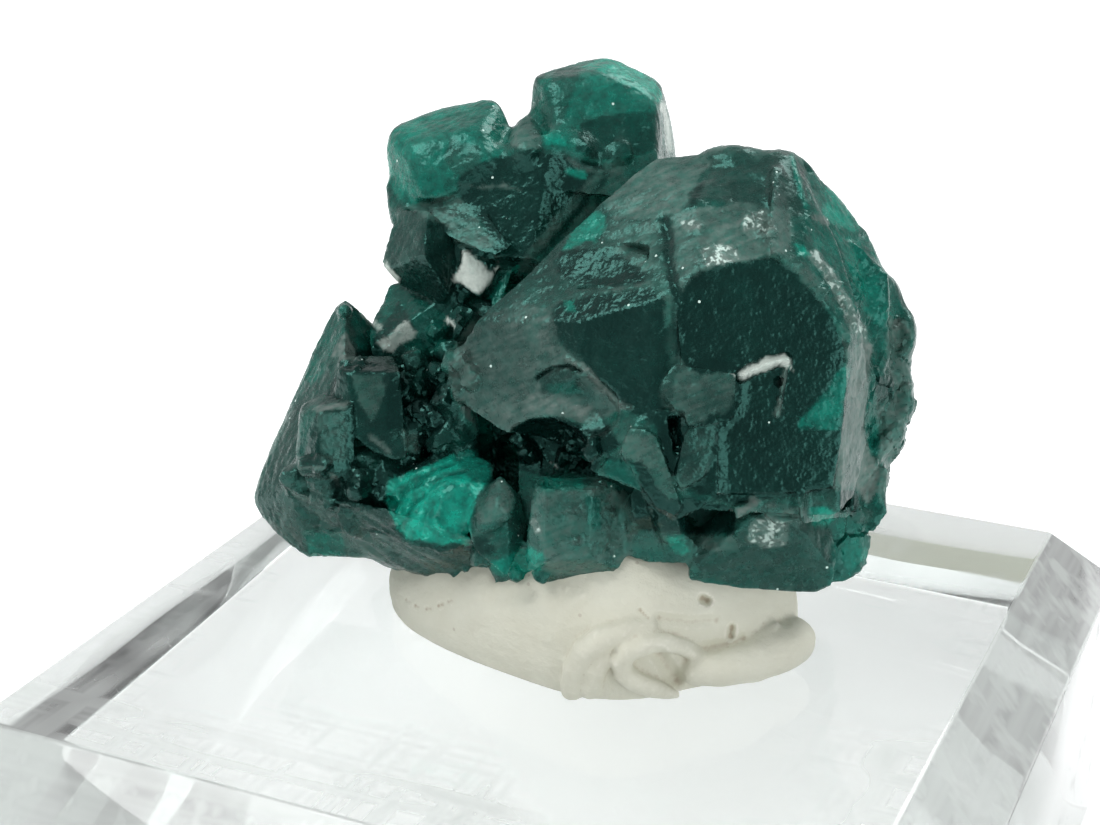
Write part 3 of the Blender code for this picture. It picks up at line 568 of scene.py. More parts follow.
# Ridges along a face: a patch, their direction in the front view, their pitch and depth.
Ridges = namedtuple("Ridges", "patch bearing pitch depth")
RIDGES = [
    Ridges(Patch((1.6, 12.4, -6.5), (3.6, 1.8, 2.6), 35, 1.0), 8, 0.55, 0.05),
    Ridges(Patch((-4.6, 2.4, -3.2), (3.6, 1.6, 2.0), -25, 1.0), -33, 0.32, 0.09),
    Ridges(Patch((9.6, 7.2, -6.0), (1.5, 3.6, 2.5), 5, 1.0), 55, 0.45, 0.09),
    Ridges(Patch((9.0, 8.0, -7.4), (0.5, 3.0, 1.5), 10, 1.0), 84, 0.16, 0.03),
    Ridges(Patch((-7.8, 6.0, -2.0), (2.2, 4.2, 2.2), -20, 0.6), 60, 0.40, 0.04),
]

# What each look is made of, in the order of the layers. Glow is brighter green, partly the crystals' own
# colour and partly painted light shining through them; shade is painted shade; the haze layer is gray haze and
# painted sheen where faces mirror the lights; pale is painted highlight; sparkle is where painted glints fall.
LAYERS = ("glow", "shade", "haze", "pale", "sparkle")
LOOKS = {
    # The black and dark looks are painted shade, and silver and white are painted sheen and highlight.
    "black": (0.0, 1.0, 0.0, 0.0, 0.0),
    "dark": (0.0, 0.90, 0.02, 0.0, 0.15),
    "green": (0.25, 0.25, 0.05, 0.0, 0.15),
    "emerald": (0.6, 0.0, 0.05, 0.0, 0.2),
    "bright": (1.0, 0.0, 0.08, 0.0, 0.25),
    "smoky": (0.05, 0.48, 0.28, 0.0, 0.25),
    "ash": (0.0, 0.30, 0.62, 0.0, 0.25),
    "gray": (0.1, 0.0, 0.7, 0.0, 0.25),
    "silver": (0.0, 0.0, 1.0, 0.06, 0.2),
    "glitter": (0.05, 0.0, 0.8, 0.12, 1.0),
    "white": (0.0, 0.0, 0.6, 1.0, 0.0),
}

Area = namedtuple("Area", "look strength corners width", defaults=(None,))
Crease = namedtuple("Crease", "height width corners")


def pairs(numbers):
    """The corners (u, v) in the photograph that a flat list of pixels gives."""
    return list(zip(numbers[::2], numbers[1::2]))


def area_rows(rows):
    return [Area(look, strength, pairs(corners), *width) for look, strength, corners, *width in rows]


def crease_rows(rows):
    return [Crease(height, width, pairs(corners)) for height, width, corners in rows]


# Areas of the surface, each over those before it: its look, how strong it is, and its corners. A width
# makes it a line along its corners, with that half width in pixels. Besides the crystals' colour, the areas
# paint shade, sheen, highlights, glints and light shining through.
AREAS = area_rows((
    # The crystals at the left.
    ("dark", 0.8, [354, 303, 380, 330, 400, 300, 388, 270, 400, 210, 460, 200, 500, 250, 490, 300,
        450, 350, 450, 370, 460, 420, 510, 470, 470, 560, 385, 567, 335, 520, 300, 470, 320, 400,
        345, 350]),
    ("smoky", 0.8, [335, 305, 354, 303, 376, 332, 345, 365, 330, 385, 320, 405, 300, 412, 300, 470,
        330, 480, 380, 520, 390, 562, 335, 563, 296, 548, 254, 508, 250, 490, 265, 440, 297, 375]),
    ("green", 0.8, [335, 305, 347, 303, 345, 330, 335, 345, 325, 370, 312, 385, 297, 375, 312, 350,
        322, 325]),
    ("green", 0.7, [350, 310, 362, 312, 376, 332, 370, 350, 356, 350]),
    ("white", 0.5, [354, 303, 362, 310, 383, 326, 377, 332, 366, 320]),
    ("silver", 0.9, [337, 345, 345, 332, 357, 350, 356, 360, 342, 361, 331, 356]),
    ("black", 0.7, [345, 365, 355, 361, 378, 361, 392, 362, 392, 372, 378, 374, 350, 372, 345, 380,
        340, 400, 330, 400, 330, 385]),
    ("gray", 0.6, [350, 374, 390, 375, 388, 385, 378, 410, 372, 425, 358, 400]),
    ("silver", 0.8, [303, 412, 320, 405, 348, 401, 345, 410]),
    ("gray", 0.5, [318, 412, 345, 412, 348, 435, 345, 462, 320, 465]),
    ("silver", 0.6, [370, 435, 390, 452], 3),
    ("black", 0.85, [385, 375, 440, 375, 440, 430, 385, 430]),
    ("gray", 0.7, [403, 430, 418, 432, 418, 455, 405, 453]),
    ("silver", 0.6, [300, 468, 325, 468], 2.5),
    ("silver", 0.8, [331, 473, 338, 485], 2),
    ("gray", 0.45, [340, 530, 390, 535, 392, 562, 345, 562]),
    ("emerald", 0.5, [300, 530, 345, 535, 345, 560, 310, 556]),
    ("black", 0.7, [330, 480, 380, 480, 380, 510, 330, 510]),
    # Between the left crystals and the front one.
    ("smoky", 0.7, [398, 207, 425, 215, 420, 250, 400, 280, 383, 262, 388, 235]),
    ("green", 0.7, [392, 283, 425, 300, 450, 320, 445, 350, 418, 355, 400, 345, 416, 332, 405, 310]),
    ("white", 0.7, [382, 263, 387, 262, 400, 280, 398, 285, 385, 270]),
    ("gray", 0.9, [402, 206, 415, 204, 430, 200, 440, 195, 452, 193, 462, 200, 475, 215, 484, 228,
        491, 236, 496, 243, 488, 249, 470, 247, 462, 248, 455, 240, 450, 227, 437, 222, 420, 214]),
    ("white", 1.0, [463, 250, 470, 253, 480, 262, 489, 271, 499, 267, 489, 285, 480, 297, 468, 289,
        455, 280]),
    ("white", 0.45, [378, 342, 390, 333, 405, 320, 418, 332, 415, 336, 400, 345, 393, 353, 383, 350]),
    ("white", 0.9, [449, 320, 455, 327], 2),
    # The two crystals at the top, and the dark face under them.
    ("emerald", 0.5, [382, 155, 392, 130, 430, 107, 466, 97, 495, 98, 511, 127, 505, 150, 480, 175,
        450, 195, 405, 205, 388, 182]),
    ("bright", 0.22, [382, 155, 392, 130, 406, 118, 430, 107, 447, 102, 466, 97, 480, 100, 470, 112,
        445, 118, 425, 132, 415, 160, 408, 185, 400, 205, 388, 182]),
    ("smoky", 0.6, [450, 140, 480, 145, 482, 172, 455, 178, 444, 160]),
    ("dark", 0.9, [455, 180, 480, 162, 530, 150, 600, 162, 612, 175, 590, 200, 560, 240, 520, 270,
        495, 262, 492, 240, 480, 220, 462, 198]),
    ("silver", 0.5, [455, 182, 480, 188, 505, 186, 520, 190], 1.6),
    ("emerald", 0.4, [531, 118, 531, 95, 545, 72, 575, 57, 615, 53, 641, 68, 661, 88, 666, 150, 600, 165,
        545, 150]),
    ("smoky", 0.5, [541, 128, 543, 108, 553, 74, 570, 62, 580, 70, 575, 90, 568, 110, 560, 128]),
    ("dark", 0.6, [580, 122, 620, 112, 660, 112, 664, 150, 600, 162, 575, 150]),
    ("bright", 0.75, [583, 66, 600, 56, 620, 54, 640, 66, 655, 80, 662, 95, 660, 104, 650, 99, 625, 84,
        600, 72]),
    ("bright", 0.5, [540, 130, 560, 132, 568, 146, 548, 145]),
    ("white", 0.75, [660, 104, 666, 102, 673, 140, 673, 152, 667, 153, 664, 130]),
    ("gray", 0.85, [513, 128, 520, 120, 526, 115, 533, 119, 541, 130, 541, 149, 508, 147]),
    ("silver", 0.55, [568, 158, 580, 168, 605, 172], 2.5),
    ("bright", 0.7, [570, 172, 582, 176], 4),
    # The front crystal's left and middle.
    ("smoky", 0.8, [605, 170, 700, 148, 692, 195, 672, 262, 650, 285, 575, 300, 550, 325, 448, 368,
        462, 335, 500, 295, 560, 215]),
    ("gray", 0.95, [605, 170, 640, 157, 670, 153, 700, 148, 728, 146, 712, 165, 700, 178, 692, 195,
        678, 214, 640, 222, 612, 218, 600, 200, 596, 185]),
    ("gray", 0.6, [612, 220, 664, 220, 656, 245, 652, 268, 645, 272, 615, 252, 607, 238]),
    ("gray", 0.7, [600, 174, 562, 217, 530, 257, 502, 293, 470, 328], 5),
    ("bright", 0.6, [562, 250, 575, 225, 592, 210, 606, 214, 606, 225, 597, 240, 575, 248]),
    ("emerald", 0.8, [487, 300, 497, 285, 515, 265, 522, 262, 510, 290, 492, 312]),
    ("dark", 0.95, [560, 302, 600, 293, 650, 287, 664, 300, 674, 400, 655, 425, 630, 412, 605, 390,
        580, 362, 554, 340, 545, 320]),
    ("black", 0.85, [560, 252, 590, 247, 612, 252, 630, 262, 645, 272, 648, 278, 640, 285, 610, 286,
        575, 283, 557, 272]),
    ("gray", 0.6, [600, 293, 625, 290, 650, 283], 2.5),
    ("bright", 0.6, [563, 300, 574, 302, 576, 312, 566, 314]),
    ("ash", 0.9, [448, 368, 462, 335, 480, 322, 520, 300, 550, 310, 560, 345, 585, 365, 608, 392,
        625, 408, 598, 420, 585, 425, 560, 415, 530, 417, 513, 430, 507, 440, 480, 430, 463, 415,
        452, 395]),
    ("silver", 0.5, [450, 372, 456, 352, 466, 336, 480, 324], 4),
    ("silver", 0.4, [520, 398, 560, 398, 592, 408, 585, 418, 535, 414]),
    ("dark", 0.7, [540, 378, 553, 369, 575, 368, 588, 385, 600, 400, 570, 398, 542, 392]),
    ("green", 0.6, [545, 384, 575, 380, 585, 394, 548, 394]),
    ("black", 0.9, [538, 377, 553, 368, 570, 366, 580, 371], 3),
    ("silver", 0.55, [566, 358, 590, 372, 605, 390, 620, 405, 630, 408], 2.5),
    # The front crystal's top, rim and right.
    ("smoky", 0.85, [700, 151, 745, 147, 790, 151, 810, 170, 813, 200, 800, 215, 735, 203, 700, 200,
        692, 195, 712, 165]),
    ("green", 0.9, [806, 170, 845, 196, 866, 229, 890, 260, 902, 303, 915, 340, 908, 410, 893, 470,
        880, 510, 860, 500, 864, 430, 872, 345, 860, 330, 830, 270, 805, 230]),
    ("emerald", 0.5, [835, 232, 858, 240, 880, 280, 892, 315, 880, 330, 862, 310, 848, 270]),
    ("bright", 0.55, [825, 188, 838, 192, 855, 212, 862, 225, 855, 232, 835, 226, 822, 215]),
    ("gray", 0.95, [885, 330, 912, 330, 913, 360, 908, 410, 900, 450, 890, 490, 880, 505, 876, 470,
        880, 440, 876, 405, 886, 370]),
    ("dark", 0.8, [874, 378, 894, 376, 893, 400, 877, 402]),
    ("silver", 0.7, [886, 314, 908, 322, 913, 334, 890, 328]),
    ("gray", 1.0, [668, 225, 672, 215, 690, 210, 735, 203, 790, 208, 792, 230, 790, 255, 765, 256,
        740, 268, 720, 275, 700, 285, 690, 298, 684, 305, 680, 290, 672, 265, 668, 245]),
    ("glitter", 1.0, [700, 250, 716, 244, 736, 248, 740, 262, 722, 272, 706, 268]),
    ("glitter", 0.9, [745, 214, 765, 209, 775, 222, 770, 238, 750, 240, 742, 228]),
    ("glitter", 0.8, [680, 222, 700, 218, 702, 229, 684, 232]),
    ("emerald", 0.7, [792, 155, 798, 180, 805, 205], 3),
    ("dark", 1.0, [676, 300, 690, 275, 715, 266, 740, 260, 772, 257, 800, 277, 822, 305, 846, 345,
        850, 380, 842, 440, 834, 492, 770, 500, 735, 505, 690, 490, 668, 470, 655, 425, 675, 400]),
    ("glitter", 0.7, [815, 255, 830, 275, 846, 303, 862, 335], 6),
    ("silver", 1.0, [816, 216, 825, 222], 3.5),
    ("bright", 0.8, [795, 243, 806, 246, 808, 256, 798, 254]),
    ("silver", 0.85, [858, 335, 872, 345, 870, 370, 866, 400, 864, 430, 872, 455, 880, 470, 877, 490,
        870, 505, 862, 500, 855, 488, 838, 491, 832, 492, 838, 465, 842, 440, 845, 410, 850, 380,
        855, 350]),
    ("bright", 0.55, [846, 362, 850, 375, 845, 400, 840, 430, 828, 432, 800, 430, 798, 425, 812, 402,
        830, 390, 835, 372]),
    ("gray", 0.6, [668, 368, 673, 354, 680, 357, 690, 368, 700, 374, 715, 373, 735, 375, 736, 388,
        731, 405, 727, 414, 712, 414, 705, 422, 690, 426, 680, 417, 670, 410, 660, 403, 658, 392,
        662, 382]),
    ("white", 0.75, [735, 374, 748, 366, 765, 359, 785, 354, 792, 360, 792, 370, 780, 366, 765, 370,
        750, 376, 738, 381]),
    ("silver", 0.7, [785, 370, 781, 392, 777, 415], 2.5),
    ("gray", 0.5, [630, 428, 645, 429, 656, 436, 662, 450, 672, 478, 678, 497, 682, 508, 675, 517,
        655, 506, 642, 475, 620, 452]),
    ("smoky", 0.8, [690, 428, 713, 425, 714, 440, 709, 465, 703, 478, 690, 485, 680, 490, 676, 478,
        681, 455, 685, 435]),
    ("black", 1.0, [658, 432, 684, 430, 678, 470, 673, 480, 665, 455]),
    ("dark", 0.9, [664, 220, 670, 240, 669, 262, 679, 300], 6),
    ("black", 0.5, [679, 300, 676, 340, 664, 400], 8),
    ("black", 0.8, [690, 195, 693, 190, 705, 178, 697, 200, 690, 210]),
    # Under the front crystal.
    ("black", 0.9, [834, 493, 845, 489, 856, 490, 861, 505, 856, 516, 840, 511]),
    ("dark", 0.95, [600, 455, 640, 460, 668, 500, 700, 500, 735, 508, 735, 535, 690, 535, 640, 530,
        620, 500]),
    ("green", 0.8, [602, 458, 636, 462, 640, 492, 608, 490]),
    ("smoky", 0.9, [690, 536, 735, 536, 765, 500, 808, 507, 832, 530, 830, 575, 825, 592, 760, 594,
        700, 575]),
    ("gray", 0.6, [762, 500, 785, 503, 808, 508, 806, 520, 795, 527, 770, 518]),
    ("gray", 0.6, [690, 535, 735, 536, 745, 548, 730, 552, 697, 550]),
    ("silver", 0.9, [733, 507, 745, 505, 755, 497, 761, 500, 758, 507, 738, 518]),
    ("glitter", 0.7, [748, 524, 768, 516, 790, 526, 788, 546, 765, 550, 748, 540]),
    ("bright", 0.6, [808, 508, 828, 506, 836, 514, 830, 528, 812, 525]),
    ("green", 0.9, [832, 525, 850, 520, 870, 525, 877, 540, 873, 560, 860, 578, 835, 587, 830, 575,
        832, 550]),
    ("emerald", 0.5, [842, 535, 864, 532, 868, 556, 850, 572, 840, 560]),
    # The low crystals in front.
    ("smoky", 0.85, [385, 542, 430, 545, 470, 548, 500, 575, 505, 590, 478, 598, 450, 594, 415, 591,
        400, 581, 385, 568]),
    ("gray", 0.6, [530, 490, 585, 488, 600, 478, 628, 500, 640, 530, 628, 560, 595, 577, 550, 575,
        540, 545, 530, 510]),
    ("emerald", 0.5, [543, 478, 583, 477, 583, 490, 540, 492]),
    ("green", 0.9, [585, 492, 602, 500, 600, 530, 588, 522]),
    ("glitter", 0.8, [533, 522, 539, 530], 4),
    ("bright", 0.95, [386, 500, 388, 480, 400, 475, 425, 465, 450, 456, 463, 450, 475, 452, 487, 460,
        493, 472, 487, 485, 475, 502, 470, 545, 430, 543, 408, 540, 395, 530]),
    ("emerald", 0.8, [430, 488, 455, 478, 470, 485, 475, 500, 470, 540, 440, 542, 422, 520]),
    ("green", 0.8, [452, 458, 463, 450, 475, 452, 487, 460, 493, 472, 487, 485, 470, 480]),
    ("green", 0.7, [432, 482, 446, 475, 460, 472], 3),
    ("green", 0.6, [398, 495, 412, 480, 436, 470, 455, 464], 2.5),
    ("green", 0.6, [394, 510, 404, 494, 420, 483], 2.5),
    ("green", 0.6, [404, 524, 414, 505, 430, 492], 2.5),
    ("bright", 0.9, [428, 492, 445, 484, 462, 480], 3),
    ("bright", 0.9, [441, 532, 434, 516, 440, 498, 454, 488], 2.5),
    ("gray", 0.75, [500, 477, 508, 482, 515, 495, 512, 510, 505, 520, 478, 525, 474, 515, 477, 500,
        487, 488]),
    ("black", 0.7, [472, 535, 480, 535, 490, 540, 498, 548, 490, 556, 475, 558]),
    ("emerald", 0.9, [490, 562, 505, 555, 515, 548, 530, 545, 545, 552, 545, 565, 540, 573, 520, 580,
        500, 577, 488, 568]),
    ("gray", 0.35, [628, 545, 640, 533, 655, 532, 683, 534, 690, 552, 680, 558, 668, 551, 645, 549,
        630, 555]),
    ("bright", 0.6, [665, 537, 683, 534, 690, 552, 678, 557, 672, 550]),
    # The hollows between them, painted black as shade.
    ("black", 1.0, [512, 428, 530, 418, 560, 416, 585, 426, 605, 422, 622, 445, 600, 460, 592, 475,
        540, 476, 512, 470]),
    ("black", 0.9, [463, 416, 480, 430, 505, 442, 505, 460, 480, 462, 465, 450]),
    ("black", 1.0, [481, 299, 491, 299, 491, 319, 481, 319]),
    ("white", 0.8, [552, 463, 556, 465], 2),
))

# Creases and edges on the surface: height towards the viewer, half width in pixels, and corners.
CREASES = crease_rows((
    (0.10, 4, [566, 358, 590, 372, 605, 390, 620, 405, 630, 408]),
    (-0.14, 4, [538, 377, 553, 368, 570, 366, 580, 371]),
    (0.08, 5, [568, 158, 580, 168, 605, 172]),
    (0.10, 4, [785, 370, 781, 392, 777, 415]),
    (0.42, 8, [741, 376, 752, 370, 766, 364, 786, 359]),
    (-0.07, 4, [398, 495, 412, 480, 436, 470, 455, 464]),
    (-0.07, 4, [394, 508, 404, 492, 420, 481]),
    (0.07, 5, [441, 532, 434, 516, 440, 498, 454, 488]),
    (-0.06, 4, [425, 536, 422, 518, 430, 502]),
    (0.09, 5, [792, 155, 798, 180, 805, 205]),
    (-0.10, 7, [664, 220, 670, 240, 669, 262, 679, 300]),
    (0.06, 3, [600, 293, 625, 290, 650, 283]),
    (-0.10, 4, [432, 484, 446, 477, 462, 472]),
    (0.08, 4, [428, 492, 445, 484, 460, 480]),
    (0.07, 4, [392, 522, 402, 500, 425, 484]),
    (-0.07, 4, [400, 526, 411, 505, 430, 490]),
    (0.10, 6, [815, 255, 830, 275, 846, 303, 862, 335]),
    (-0.10, 5, [884, 372, 896, 352, 908, 343]),
    (-0.10, 5, [878, 405, 892, 390, 910, 380]),
    (-0.10, 5, [876, 440, 890, 425, 906, 416]),
    (-0.10, 5, [876, 472, 886, 460, 898, 450]),
    (-0.07, 4, [845, 240, 862, 236, 872, 230]),
    (-0.07, 4, [868, 275, 880, 268, 892, 264]),
))

# An area takes in points this near to its usual depth, and its border wavers by this many pixels.
AREA_REACH = 2.2
AREA_WOBBLE = 2.4
AREA_MARGIN = 8
AREA_BORDER = (-1.0, 1.6)

# Away from the areas, the least of each layer and what the far side's or the flats' pattern adds to it.
PLAIN_GLOW = (0.15, 0.45)
PLAIN_SHADE = (0.35, -0.25)
PLAIN_HAZE_AND_SHEEN = (0.10, 0.35)
PLAIN_SPARKLE = 0.2
FAR_SIDE_FROM = (-2.0, 1.0)


def shape_inside(places, corners, width):
    if width is None:
        return inside_by(places, corners)
    return inside_line(places, corners, width)


def usual_depth(tree, corners):
    """The surface's depth, in the middle of what it is at the corners and at their middle."""
    middle = (sum(u for u, _ in corners) / len(corners), sum(v for _, v in corners) / len(corners))
    hits = (hit_at(tree, *corner)[0] for corner in corners + [middle] * 3)
    depths = sorted(hit.z for hit in hits if hit is not None)
    return depths[len(depths) // 2]


def near_shape(places, points, tree, corners, width, wobble):
    """The points close to a shape and its depth, and how many pixels inside it each lies."""
    grown = (width or 0) + AREA_MARGIN
    low = np.min(np.array(corners), axis=0) - grown
    high = np.max(np.array(corners), axis=0) + grown
    depth = usual_depth(tree, corners)
    level = np.abs(points[:, 2] - depth) < AREA_REACH
    near = np.flatnonzero(np.all((places > low) & (places < high), axis=1) & level)
    return near, shape_inside(places[near], corners, width) + wobble[near]


def paint(points, tree):
    """The strength of each layer at each point: colour, and painted shade, sheen, highlights, glints and glow.
    """
    places = to_pixels(points)
    wobble = smooth_noise(points, 0.5, SEED + 20) + 0.6 * smooth_noise(points, 0.17, SEED + 21)
    wobble = AREA_WOBBLE * wobble
    flat = np.clip(0.5 + 0.9 * facet_noise(points, 2.4, SEED + 22), 0, 1)
    cloud = np.clip(0.5 + 0.8 * smooth_noise(points, 1.3, SEED + 23), 0, 1)
    far = smooth_step(points[:, 2], *FAR_SIDE_FROM)
    glow = PLAIN_GLOW[0] + PLAIN_GLOW[1] * far * flat * cloud
    shade = PLAIN_SHADE[0] + PLAIN_SHADE[1] * far * flat
    haze = PLAIN_HAZE_AND_SHEEN[0] + PLAIN_HAZE_AND_SHEEN[1] * (1 - flat) * cloud
    sparkle = np.full(len(points), PLAIN_SPARKLE)
    values = np.stack((glow, shade, haze, np.zeros(len(points)), sparkle), axis=1)
    for area in AREAS:
        near, inside = near_shape(places, points, tree, area.corners, area.width, wobble)
        weight = (area.strength * smooth_step(inside, *AREA_BORDER))[:, None]
        values[near] += (np.array(LOOKS[area.look]) - values[near]) * weight
    return values


# Ground that wear has rounded, and how many rounds of smoothing the strongest of it gets.
ROUNDED = [
    Patch((-3.6, 15.4, -1.0), (3.0, 2.2, 4.0), 0, 1.0),
    Patch((1.6, 17.2, -1.0), (3.2, 2.2, 4.0), 0, 1.0),
    Patch((7.0, 13.8, -5.0), (2.8, 1.6, 4.0), -15, 0.8),
    Patch((10.6, 8.0, -5.0), (1.5, 5.6, 4.0), 5, 0.8),
    Patch((-3.9, 4.2, -4.8), (1.8, 1.4, 2.0), -20, 0.8),
    Patch((-9.2, 5.0, -1.0), (1.2, 4.6, 4.0), -20, 0.5),
    Patch((-5.6, 1.8, -2.0), (3.6, 1.0, 3.0), -25, 0.5),
]
ROUNDS = 90


def neighbours(mesh):
    """A point's number and its neighbour's, for every such pair, and how many neighbours each point has."""
    edges = np.empty(len(mesh.edges) * 2, dtype=np.int32)
    mesh.edges.foreach_get("vertices", edges)
    first, second = edges.reshape(-1, 2).T
    here = np.concatenate((first, second))
    there = np.concatenate((second, first))
    return here, there, np.maximum(np.bincount(here, minlength=len(mesh.vertices)), 1)


def relax(mesh, points, weight, rounds):
    """Draw each point towards the middle of its neighbours, by its weight."""
    here, there, count = neighbours(mesh)
    moving = np.flatnonzero(weight[here] > 0)
    here, there = here[moving], there[moving]
    share = 0.5 * weight
    for _ in range(rounds):
        for axis in range(3):
            middle = np.bincount(here, weights=points[there, axis], minlength=len(points)) / count
            points[:, axis] += np.where(weight > 0, (middle - points[:, axis]) * share, 0)


# The dark face is no nearer than this depth inside its outline.
DARK_FACE_DEPTH = -9.03
DARK_FACE = pairs([671, 300, 690, 268, 740, 257, 775, 249, 806, 272, 832, 310, 854, 345, 858, 400, 852, 440,
    844, 508, 800, 522, 724, 515, 718, 430, 738, 412, 742, 385, 732, 368, 700, 366, 677, 348])

# How much of the wear is taken off the dark face, within this many pixels and this depth of its border.
DARK_FACE_CALM = 0.8
CALM_BORDER = 10
CALM_REACH = 0.6

# Wear of the faces: how far each kind moves the surface, and its grain.
WAVES = (0.035, 2.6)
GRIT = (0.012, 0.7)
FLATS = (0.012, 0.5)
BROKEN_FLATS = (0.09, 0.85)
BROKEN_CHIPS = (0.03, 0.36)

# Growth steps: the height of one, the grain of the hills that they climb, how many a hill has, and how much of
# each is its rise.
STEP_HEIGHT = 0.022
HILL_GRAIN = 2.0
HILL_STEPS = 7
STEP_WIDTH = 0.25

# How fast ridges' noise changes along them and in depth, for its change across them.
RIDGE_SHARES = (0.08, 0.3)


def worn(points):
    """How far each point of the crystals moves along its normal."""
    wobble = 0.35 * smooth_noise(points, 1.1, SEED)
    shift = WAVES[0] * smooth_noise(points, WAVES[1], SEED + 1)
    shift += GRIT[0] * rough_noise(points, GRIT[1], SEED + 2)
    hill = smooth_noise(points, HILL_GRAIN, SEED + 5) * HILL_STEPS
    step = np.floor(hill) + smooth_step(hill - np.floor(hill), 0.0, STEP_WIDTH)
    shift += STEP_HEIGHT * (step - hill)
    broken = BROKEN_FLATS[0] * facet_noise(points, BROKEN_FLATS[1], SEED + 6)
    broken += BROKEN_CHIPS[0] * facet_noise(points, BROKEN_CHIPS[1], SEED + 7)
    shift += patches_weight(points, BROKEN, wobble) * broken
    shift += FLATS[0] * facet_noise(points, FLATS[1], SEED + 8)
    for ridges in RIDGES:
        bearing = math.radians(ridges.bearing)
        across = points[:, 1] * math.cos(bearing) - points[:, 0] * math.sin(bearing)
        along = points[:, 0] * math.cos(bearing) + points[:, 1] * math.sin(bearing)
        lines = np.stack((across, along * RIDGE_SHARES[0], points[:, 2] * RIDGE_SHARES[1]), axis=1)
        weight = ridges.patch.strength * patch_weight(points, ridges.patch, wobble)
        shift += weight * ridges.depth * rough_noise(lines, ridges.pitch, SEED + 11, 2)
    calm = smooth_step(inside_by(to_pixels(points), DARK_FACE), 0, CALM_BORDER)
    calm = calm * (points[:, 2] < DARK_FACE_DEPTH + CALM_REACH)
    return shift * (1 - DARK_FACE_CALM * calm)


def bitten(points, edges, chance):
    """Chips broken out along sharp edges, given as (place, outward direction)."""
    for place, out in edges:
        radius = chance.choice(CHIP_RADII)
        centre = np.array(place + out * radius * chance.uniform(*CHIP_DEPTHS))
        away = points - centre
        near = np.flatnonzero(np.sum(away * away, axis=1) < radius * radius)
        if len(near) == 0:
            continue
        inward = -np.array(out)
        along = away[near] @ inward
        level = np.sum(away[near] ** 2, axis=1) - along ** 2
        points[near] += inward * (np.sqrt(np.maximum(radius * radius - level, 0)) - along)[:, None]


CHIP_SPACING = 9.0
CHIP_RADII = (0.12, 0.16, 0.22, 0.3)
CHIP_DEPTHS = (0.35, 0.75)
CHIPPED_ANGLE = math.radians(35)
EDGE_WEAR = 2


def sharp_places(mesh, chance):
    """Places along a mesh's sharp outward edges, each with the way that the edge points."""
    work = bmesh.new()
    work.from_mesh(mesh)
    places = []
    for edge in work.edges:
        if len(edge.link_faces) != 2 or not edge.is_convex or edge.calc_face_angle() < CHIPPED_ANGLE:
            continue
        out = (edge.link_faces[0].normal + edge.link_faces[1].normal).normalized()
        first, second = (corner.co for corner in edge.verts)
        expected = edge.calc_length() / CHIP_SPACING
        count = int(expected) + (chance.random() < expected - int(expected))
        for _ in range(count):
            places.append((first.lerp(second, chance.random()), out.copy()))
    work.free()
    return places


# The hollow under the upper face is filled by a share, up to a plane: a pixel, its depth and the slopes.
HOLLOW = pairs([546, 262, 560, 243, 590, 238, 615, 240, 650, 252, 660, 272, 648, 290, 610, 294, 575, 292,
    554, 284])
HOLLOW_SHARE = 0.75
HOLLOW_PLANE = (660, 255, -8.0, -0.019, -0.0233)
HOLLOW_REACH = 1.2
LEVEL_BORDER = 8
UNCHIPPED_REACH = 6


def level_out(points):
    """Take the ridge off the dark face, and fill most of the hollow beside it."""
    places = to_pixels(points)
    weight = smooth_step(inside_by(places, DARK_FACE), 0, LEVEL_BORDER)
    too_near = np.minimum(points[:, 2] - DARK_FACE_DEPTH, 0)
    points[:, 2] -= too_near * weight
    u, v, depth, slope_u, slope_v = HOLLOW_PLANE
    plane = depth + (places[:, 0] - u) * slope_u + (places[:, 1] - v) * slope_v
    gap = np.clip(plane - points[:, 2], -HOLLOW_REACH, 0)
    near = points[:, 2] < plane + HOLLOW_REACH
    points[:, 2] += gap * HOLLOW_SHARE * smooth_step(inside_by(places, HOLLOW), 0, LEVEL_BORDER) * near


def crease(points, tree, creases):
    """Raise edges and press creases, towards and away from the viewer."""
    places = to_pixels(points)
    still = np.zeros(len(points))
    for line in creases:
        near, inside = near_shape(places, points, tree, line.corners, line.width, still)
        points[near, 2] -= line.height * smooth_step(inside, 0, line.width)


def edge_sharpness(mesh, points, normals):
    """How sharply the surface turns at each point: more than 0 on edges and less in creases."""
    here, there, count = neighbours(mesh)
    away = points[there] - points[here]
    length = np.maximum(np.linalg.norm(away, axis=1), 1e-9)
    fall = -np.sum(away * normals[here], axis=1) / length
    return np.bincount(here, weights=fall, minlength=len(points)) / count


